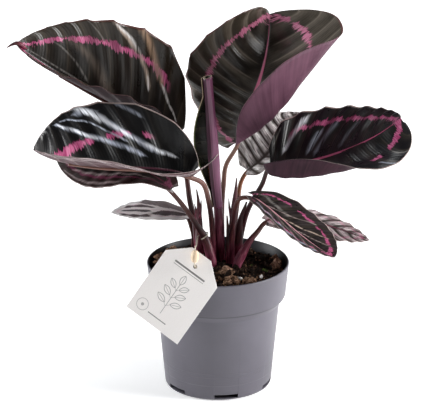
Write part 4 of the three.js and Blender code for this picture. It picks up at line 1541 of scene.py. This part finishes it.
LEAVES = [
    Leaf(
        "leaf_upper_left",
        midrib=[(-34, 51, 204), (-68, 46, 223), (-119, 33, 254.5), (-167, 15, 295)],
        face=[(0.3, -0.25, 0.95)],
        left=Half(52, (28, 35, 10), (10, 10, 8)),
        right=Half(68, (37, 60, 44), (5, 17, 13), base=0.85),
        widest=0.46, base=0.47, tip=0.77, pleats=9, scallop=0.055,
        stalk=[(-17, 23, 84), (-17, 23, 104), (-19.5, 22, 134), (-24, 23, 156), (-27, 29, 177)],
        radii=[2.4, 2.9, 2.6, 2.2, 2.1],
        drip=[(-158, 18.5, 289.5), (-166, 15, 295.5), (-170, 13, 295), (-174, 11, 293)],
        marking=Marking(centre=0.5, length=0.475, reach=(0.62, 0.68), width=0.06, seed=1.0,
                        span=(0.17, 1.1)),
        tone=LeafTone(inner=(0.007, 0.005, 0.0035), outer=(0.021, 0.015, 0.0095),
                      vein=(0.12, 0.092, 0.065), veins=0.32, streaks=(
            Streak(((0.7, 0.6), (0.58, 0.36), (0.5, 0.1)), 5.0, 0.16, SAND_SHEEN),
            Streak(((0.45, 0.97), (0.4, 0.84), (0.35, 0.7), (0.31, 0.55), (0.29, 0.42)), 2.3, 0.85, SAND_SHEEN),
            Streak(((0.44, 0.96), (0.38, 0.84), (0.35, 0.73)), 1.7, 1.0, SILVER_HIGHLIGHT),
            Streak(((0.3, 0.5), (0.29, 0.38)), 1.3, 1.0, SILVER_HIGHLIGHT),
            Streak(((0.33, 0.99), (0.29, 0.86), (0.26, 0.72), (0.22, 0.58)), 3.8, 0.7, TAN_SHEEN),
            Streak(((0.2, 0.53), (0.15, 0.45)), 2.2, 1.0, SILVER_HIGHLIGHT),
            Streak(((0.13, 0.42), (0.06, 0.38)), 2.0, 1.0, SILVER_HIGHLIGHT),
            Streak(((0.57, 0.98), (0.52, 0.69)), 1.0, 0.4, ASH_SHEEN),
            Streak(((0.8, 0.53), (0.69, 0.3), (0.62, 0.12)), 1.2, 0.5, ASH_SHEEN),
            Streak(((0.97, 0.14), (0.82, 0.1), (0.67, 0.07)), 1.0, 0.65, ASH_SHEEN),
        )),
        under=Underside((0.009, 0.002, 0.004), (0.03, 0.008, 0.012), (0.08, 0.03, 0.034), 0.75, 0.3),
    ),
    Leaf(
        "leaf_middle_left",
        midrib=[(-21, -8, 187.5), (-62.5, -21, 198.5), (-110.5, -37, 206.5), (-150, -51, 225)],
        face=[(0, -0.15, 1)],
        left=Half(36, (-26, 25, 19), (7, 9, 14), ear=(25, -6, 32), smooth=True),
        right=Half(55, (73, 50, 36), (20, 9, 5), base=0.67),
        widest=0.49, base=0.44, tip=0.49, pleats=8,
        stalk=[(-2.6, 10.4, 84), (-3.6, 9.8, 105), (-4.8, 7.8, 134), (-7.5, 2, 160), (-12.5, -3, 179)],
        radii=[2.4, 2.5, 2.4, 2.2, 2.1],
        marking=Marking(0.2, 0.62, (0.6, 0.56), 2.0, 0.07, midrib=0.1, seed=2.0, gaps=0.42,
                        span=(0.22, 0.9)),
        tone=LeafTone(inner=(0.003, 0.003, 0.0036), outer=(0.005, 0.005, 0.0062), veins=0.14,
                      margin=PALE_RIM_AND_HIGHLIGHT, streaks=(
            Streak(((0.53, 0.88), (0.44, 0.88), (0.4, 0.7), (0.36, 0.58), (0.29, 0.45), (0.24, 0.34)),
                   3.6, 0.9, BLUE_HIGHLIGHT),
            Streak(((0.5, 0.93), (0.45, 0.87), (0.41, 0.74)), 4.4, 1.0, WHITE_HIGHLIGHT),
            Streak(((0.41, 0.74), (0.36, 0.58), (0.3, 0.46)), 2.2, 0.9, WHITE_HIGHLIGHT),
            Streak(((0.26, 0.4), (0.2, 0.33), (0.13, 0.35)), 2.8, 0.9, WHITE_HIGHLIGHT),
            Streak(((0.75, 0.8), (0.65, 0.61), (0.59, 0.54), (0.51, 0.45), (0.44, 0.39), (0.31, 0.24)),
                   3.0, 0.95, BLUE_HIGHLIGHT),
            Streak(((0.73, 0.76), (0.62, 0.58), (0.52, 0.46)), 2.2, 1.0, WHITE_HIGHLIGHT),
            Streak(((0.68, 0.84), (0.53, 0.75), (0.45, 0.62), (0.36, 0.42)), 1.3, 0.9, BLUE_HIGHLIGHT),
            Streak(((0.29, 0.97), (0.23, 0.84)), 2.2, 0.45, BLUE_HIGHLIGHT),
            Streak(((0.97, 0.9), (0.9, 0.97), (0.8, 0.98)), 1.6, 0.8, WHITE_HIGHLIGHT),
        )),
        under=Underside((0.028, 0.009, 0.013), (0.1, 0.04, 0.05), (0.4, 0.3, 0.3), pale=1.0,
                        fold_sheen_colour=(0.72, 0.62, 0.62)),
        skin=StalkSkin(node=(0.22, 0.11, 0.085), node_from=0.7),
    ),
    Leaf(
        "leaf_lower_left",
        midrib=[(-38, 0, 172), (-68, 6, 190), (-100, 10, 194), (-135, 12, 196)],
        face=[(0, -0.1, 1)],
        left=Half(34, (24, 0, -15), (0, -20, -20)),
        right=Half(32, (15, 15, 15)),
        widest=0.55, base=0.5, tip=0.7, pleats=8, waves=0.5,
        stalk=[(-4, 2, 84), (-5, 2, 104), (-10, 3, 126), (-18.5, 2, 141.5), (-28.5, 1, 157)],
        radii=[3.8, 4.6, 4, 2.5, 2.1],
        skin=StalkSkin(foot=(0.15, 0.018, 0.045), foot_streaks_and_sheen=(0.5, 0.14, 0.22)),
        marking=Marking(seed=3.0, strength=0.3, midrib=0.3),
        tone=LeafTone(outer=(0.02, 0.009, 0.009), veins=0.2, pleat_sheen=(0.13, 0.065, 0.065), pleat_sheen_share=0.2,
                      margin=PALE_RIM_AND_HIGHLIGHT, streaks=(
            Streak(((0.8, -0.5), (0.5, -0.55), (0.15, -0.45)), 2.4, 0.75, MIST_SHEEN, 98.0, 34.0),
            Streak(((0.85, -0.8), (0.6, -0.85), (0.3, -0.85)), 2.2, 0.7, MIST_SHEEN, 98.0, 34.0),
            Streak(((0.7, -0.25), (0.35, -0.3)), 1.8, 0.5, MIST_SHEEN, 98.0, 34.0),
        )),
    ),
    Leaf(
        "leaf_small_left",
        midrib=[(-26, 24, 142), (-47, 20, 147), (-68, 15, 149), (-90, 10, 149)],
        face=[(0, -0.1, 1)],
        left=Half(18, (0, -2, -5)),
        right=Half(17, (5, 5, 5)),
        widest=0.42, base=0.5, tip=0.85, pleats=6, waves=0.4, scallop=0.05,
        stalk=[(-21, 27.5, 84), (-21, 27, 104), (-21, 26, 120), (-23, 25, 131)],
        radii=[2, 2, 1.8, 1.6],
        marking=Marking(seed=4.0, strength=0.2, midrib=0.4),
        # The near-white face is a painted reflection, and the dark streaks lay the leaf's own dark colour
        # over it.
        tone=LeafTone(inner=(0.95, 0.88, 0.88), outer=(1.0, 0.96, 0.96), veins=0.0, margin=SILVER_HIGHLIGHT, streaks=(
            Streak(((0.7, 0.52), (0.6, 0.5), (0.44, 0.34)), 5.5, 0.9, WINE, 65.0, 18.0, True),
            Streak(((0.84, 0.04), (0.72, 0.0), (0.52, -0.12)), 4.4, 0.9, DUSK, 65.0, 18.0, True),
            Streak(((0.82, -0.62), (0.68, -0.68), (0.48, -0.64)), 6.0, 0.9, WINE, 65.0, 18.0, True),
            Streak(((0.34, -0.3), (0.0, -0.2)), 10.0, 0.95, WINE, 65.0, 18.0, True),
            Streak(((0.3, 0.72), (0.0, 0.6)), 14.0, 0.9, (0.12, 0.085, 0.09), 65.0, 18.0, True),
        )),
    ),
    Leaf(
        "leaf_tall",
        midrib=[(16, 15, 208), (24, 30, 230.5), (36.5, 50, 258), (44, 90, 300.5)],
        face=[(-0.2, -0.95, 0.3), (-0.05, -0.85, 0.45), (0.1, -0.75, 0.65)],
        left=Half(64, (-26, -12, 59), (-25, -14, 18), base=0.66),
        right=Half(110, (-40, 47, 32), (176, 63, 147), (0.28, 0.38, 1.72), 0.25, smooth=True),
        widest=0.52, base=1.24, tip=0.5, pleats=9,
        stalk=[(4, 25, 84), (3.5, 24, 110), (3.4, 23, 151), (4.7, 21, 170), (6.7, 18, 188)],
        radii=[2.4, 2.4, 2.3, 2.2, 2.1],
        marking=Marking(centre=0.5, length=0.485, reach=(0.68, 0.62), width=0.055, seed=5.0),
        tone=LeafTone(inner=(0.012, 0.0085, 0.006), outer=(0.034, 0.026, 0.018),
                      vein=(0.15, 0.125, 0.1), veins=1.0, ring=(0.36, 0.08, 0.16),
                      ring_light=(0.58, 0.24, 0.34), roughness=0.32),
        under=Underside((0.06, 0.022, 0.038), (0.115, 0.048, 0.075), (0.13, 0.055, 0.08), 0.6, 0.08),
        skin=StalkSkin(node=(0.22, 0.12, 0.085), node_from=0.6),
    ),
    Leaf(
        "leaf_back",
        midrib=[(24, 30, 179), (41, 36, 191), (56, 46, 207), (68, 60, 222)],
        face=[(-0.5, -0.6, 0.6)],
        left=Half(36, (10, 10, 10), (10, 10, 10)),
        right=Half(24, (20, 15, 10), (10, 10, 10)),
        widest=0.5, base=0.6, tip=0.85, pleats=8,
        stalk=[(13, 25, 84), (13.5, 25.5, 105), (14.5, 26, 132), (17, 28, 154), (19.5, 30, 169)],
        radii=[2.3, 2.4, 2.2, 2, 2],
        marking=Marking(seed=6.0, strength=0.0, midrib=0.0),
        # The white pleat sheen and the light inner and outer tones are a painted reflection of the bright
        # backdrop.
        tone=LeafTone(inner=(0.05, 0.04, 0.035), outer=(0.08, 0.065, 0.055), pleat_sheen=(1.0, 0.97, 0.94),
                      pleat_sheen_share=1.0, pleat_sheen_edge=0.27, margin=PALE_RIM_AND_HIGHLIGHT),
        skin=StalkSkin(node=(0.24, 0.09, 0.035), node_from=0.65),
    ),
    Leaf(
        "leaf_right",
        midrib=[(42.5, -5, 195), (70, -12, 200.5), (111, -22, 217.5), (149, -36, 247.5)],
        face=[(0, -0.2, 1)],
        left=Half(51.5, (39, 20, 6), (18, 8, 5), tip=0.77),
        right=Half(43, (-14, -20, -61), (117, 107, -30), (0.35, 0.36, 0.28), 0.4, smooth=True),
        widest=0.51, base=0.46, tip=0.35, pleats=9,
        stalk=[(16, 17.5, 84), (17, 16, 108), (21, 11, 136), (26, 5, 155), (37, -2, 178.5)],
        radii=[2.6, 2.6, 2.4, 2.2, 2.1],
        sheath=[(16, 17, 92), (17.5, 13, 122), (19.5, 9.5, 143), (24, 5, 160)],
        sheath_radii=[2.8, 4, 3.2, 0.7],
        marking=Marking(centre=0.52, length=0.455, reach=(0.72, 0.57), seed=7.0, gaps=0.4,
                        span=(0.17, 1.1)),
        tone=LeafTone(inner=(0.004, 0.004, 0.005), outer=(0.008, 0.007, 0.009), veins=0.4,
                      margin=PALE_RIM_AND_HIGHLIGHT, streaks=(
            Streak(((0.23, -0.83), (0.2, -0.68), (0.15, -0.38)), 4.2, 0.95, WHITE_HIGHLIGHT),
            Streak(((0.08, -0.86), (0.04, -0.76)), 2.4, 0.6, ASH_SHEEN),
            Streak(((0.37, -0.54), (0.35, -0.22)), 3.2, 0.7, BLUE_HIGHLIGHT),
            Streak(((0.45, -0.63), (0.41, -0.16)), 3.4, 0.4, BLUE_HIGHLIGHT),
            Streak(((0.6, -0.6), (0.57, -0.14)), 2.4, 0.25, BLUE_HIGHLIGHT),
            Streak(((0.86, -0.99), (0.88, -0.8)), 1.6, 0.5, BLUE_HIGHLIGHT),
            Streak(((0.69, 0.73), (0.7, 0.98)), 1.6, 0.6, BLUE_HIGHLIGHT),
            Streak(((0.8, 0.5), (0.82, 0.95)), 1.4, 0.6, ASH_SHEEN),
            Streak(((0.79, 0.3), (0.77, 0.75)), 8.0, 1.0, NIGHT, solid=True),
            Streak(((0.62, 0.5), (0.56, 0.95)), 18.0, 1.0, NIGHT, solid=True),
        )),
        under=Underside((0.02, 0.006, 0.012), (0.05, 0.016, 0.028), (0.08, 0.03, 0.04), 0.7, 0.2),
        skin=StalkSkin(foot_top=0.5, body=(0.03, 0.009, 0.011), body_streaks_and_sheen=(0.12, 0.035, 0.04),
                       node=(0.04, 0.016, 0.015)),
    ),
    Leaf(
        "leaf_lower_right",
        midrib=[(28, -12, 171), (47, -22, 160), (70, -38, 145), (96, -55, 133)],
        face=[(0.35, -0.35, 0.9)],
        left=Half(26, (12, 12, 12), ear=(-9, -2, -2)),
        right=Half(18, (18, 18, 18), tip=0.75),
        widest=0.6, base=0.38, tip=0.6, pleats=8, waves=0.5,
        stalk=[(10, 9, 84), (11, 8.5, 105), (12, 7, 127), (13, 2, 145), (15, -4, 160), (18.5, -8.5, 168)],
        radii=[3, 3, 2.4, 2.2, 2.1, 2],
        sheath=[(9.3, 9.2, 90), (9, 9.8, 120), (7.6, 10.4, 146)],
        sheath_radii=[2.8, 2.4, 0.6],
        marking=Marking(0.45, 0.5, (0.7, 0.66), width=0.055, seed=8.0, strength=0.9, gaps=0.42),
        tone=LeafTone(inner=(0.005, 0.004, 0.0045), outer=(0.01, 0.007, 0.008), pleat_sheen=(0.2, 0.16, 0.16),
                      pleat_sheen_share=0.16, midrib=(0.6, 0.3, 0.34), margin=PALE_RIM_AND_HIGHLIGHT, streaks=(
            Streak(((0.06, -0.5), (0.2, -0.3), (0.4, -0.25)), 2.0, 0.6, ASH_SHEEN, 85.0, 24.0),
            Streak(((0.1, 0.6), (0.4, 0.75), (0.8, 0.8)), 1.8, 0.7, BLUE_HIGHLIGHT, 85.0, 20.0),
            Streak(((0.22, -0.04), (0.4, -0.3), (0.52, -0.7)), 0.9, 0.8, PALE_RIM_AND_HIGHLIGHT, 85.0, 24.0),
            Streak(((0.42, -0.04), (0.6, -0.25), (0.74, -0.65)), 0.9, 0.9, SAND_SHEEN, 85.0, 24.0),
            Streak(((0.6, -0.04), (0.76, -0.22), (0.88, -0.5)), 0.8, 0.8, PALE_RIM_AND_HIGHLIGHT, 85.0, 24.0),
            Streak(((0.3, 0.04), (0.45, 0.35), (0.55, 0.8)), 0.8, 0.8, PALE_RIM_AND_HIGHLIGHT, 85.0, 20.0),
            Streak(((0.5, 0.04), (0.66, 0.35), (0.76, 0.8)), 0.8, 0.8, PALE_RIM_AND_HIGHLIGHT, 85.0, 20.0),
        )),
    ),
    Leaf(
        "leaf_small_right",
        midrib=[(40, 5, 143), (69, 12, 142), (100, 12, 134), (128, 10, 124)],
        face=[(0.3, -0.3, 0.9)],
        left=Half(14, (5, 5, 5)),
        right=Half(20, (5, 5, 5)),
        widest=0.5, base=0.5, tip=0.85, pleats=7, waves=0.9,
        stalk=[(14, 1, 84), (16, 1.5, 104), (21, 2, 116), (27, 3.5, 126), (33, 5, 133)],
        radii=[3.3, 3.9, 4.1, 2.6, 2],
        marking=Marking(seed=9.0, strength=0.3, midrib=0.4),
        tone=LeafTone(outer=(0.028, 0.016, 0.016), pleat_sheen=(0.55, 0.45, 0.46), pleat_sheen_share=0.85, margin=PALE_RIM_AND_HIGHLIGHT),
        skin=StalkSkin(foot=(0.16, 0.02, 0.05), foot_streaks_and_sheen=(0.5, 0.14, 0.22), body=(0.07, 0.014, 0.022),
                       body_streaks_and_sheen=(0.24, 0.07, 0.09), foot_top=0.95),
    ),
]

SHOOTS = [
    Shoot(
        "shoot_left",
        [(-15, 12, 84), (-15.8, 12.8, 110), (-15.8, 14, 141), (-16.6, 14, 158), (-18, 14, 168)],
        [3.2, 3.9, 3.5, 2.2, 0.5],
        [[(-15.6, 13, 143), (-14.4, 12.6, 153), (-14.2, 12, 160)],
         [(-18, 14.5, 140), (-18.6, 15, 149), (-20, 15, 155)]],
    ),
    Shoot(
        "shoot_centre",
        [(9.4, 17.5, 84), (10, 17, 105), (11, 15.7, 125), (13, 12.6, 150), (15, 10, 170), (15.6, 8.5, 180)],
        [2.4, 2.6, 2.6, 2.5, 2, 0.5],
        [[(11.5, 13.5, 142), (9.6, 13, 153), (9, 12.6, 161)],
         [(14, 11, 152), (16.8, 10.6, 160), (18, 10, 166)]],
    ),
]


def main() -> None:
    """Builds every sub-assembly in order."""
    logging.basicConfig(level=logging.INFO, format="%(message)s")
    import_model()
    Camera().build()
    Tag().build_string()
    for leaf in LEAVES:
        leaf.build()
    RolledLeaf().build()
    for shoot in SHOOTS:
        shoot.build()
    Pot().build()
    Soil().build()
    Studio().build()


if __name__ == "__main__":
    main()
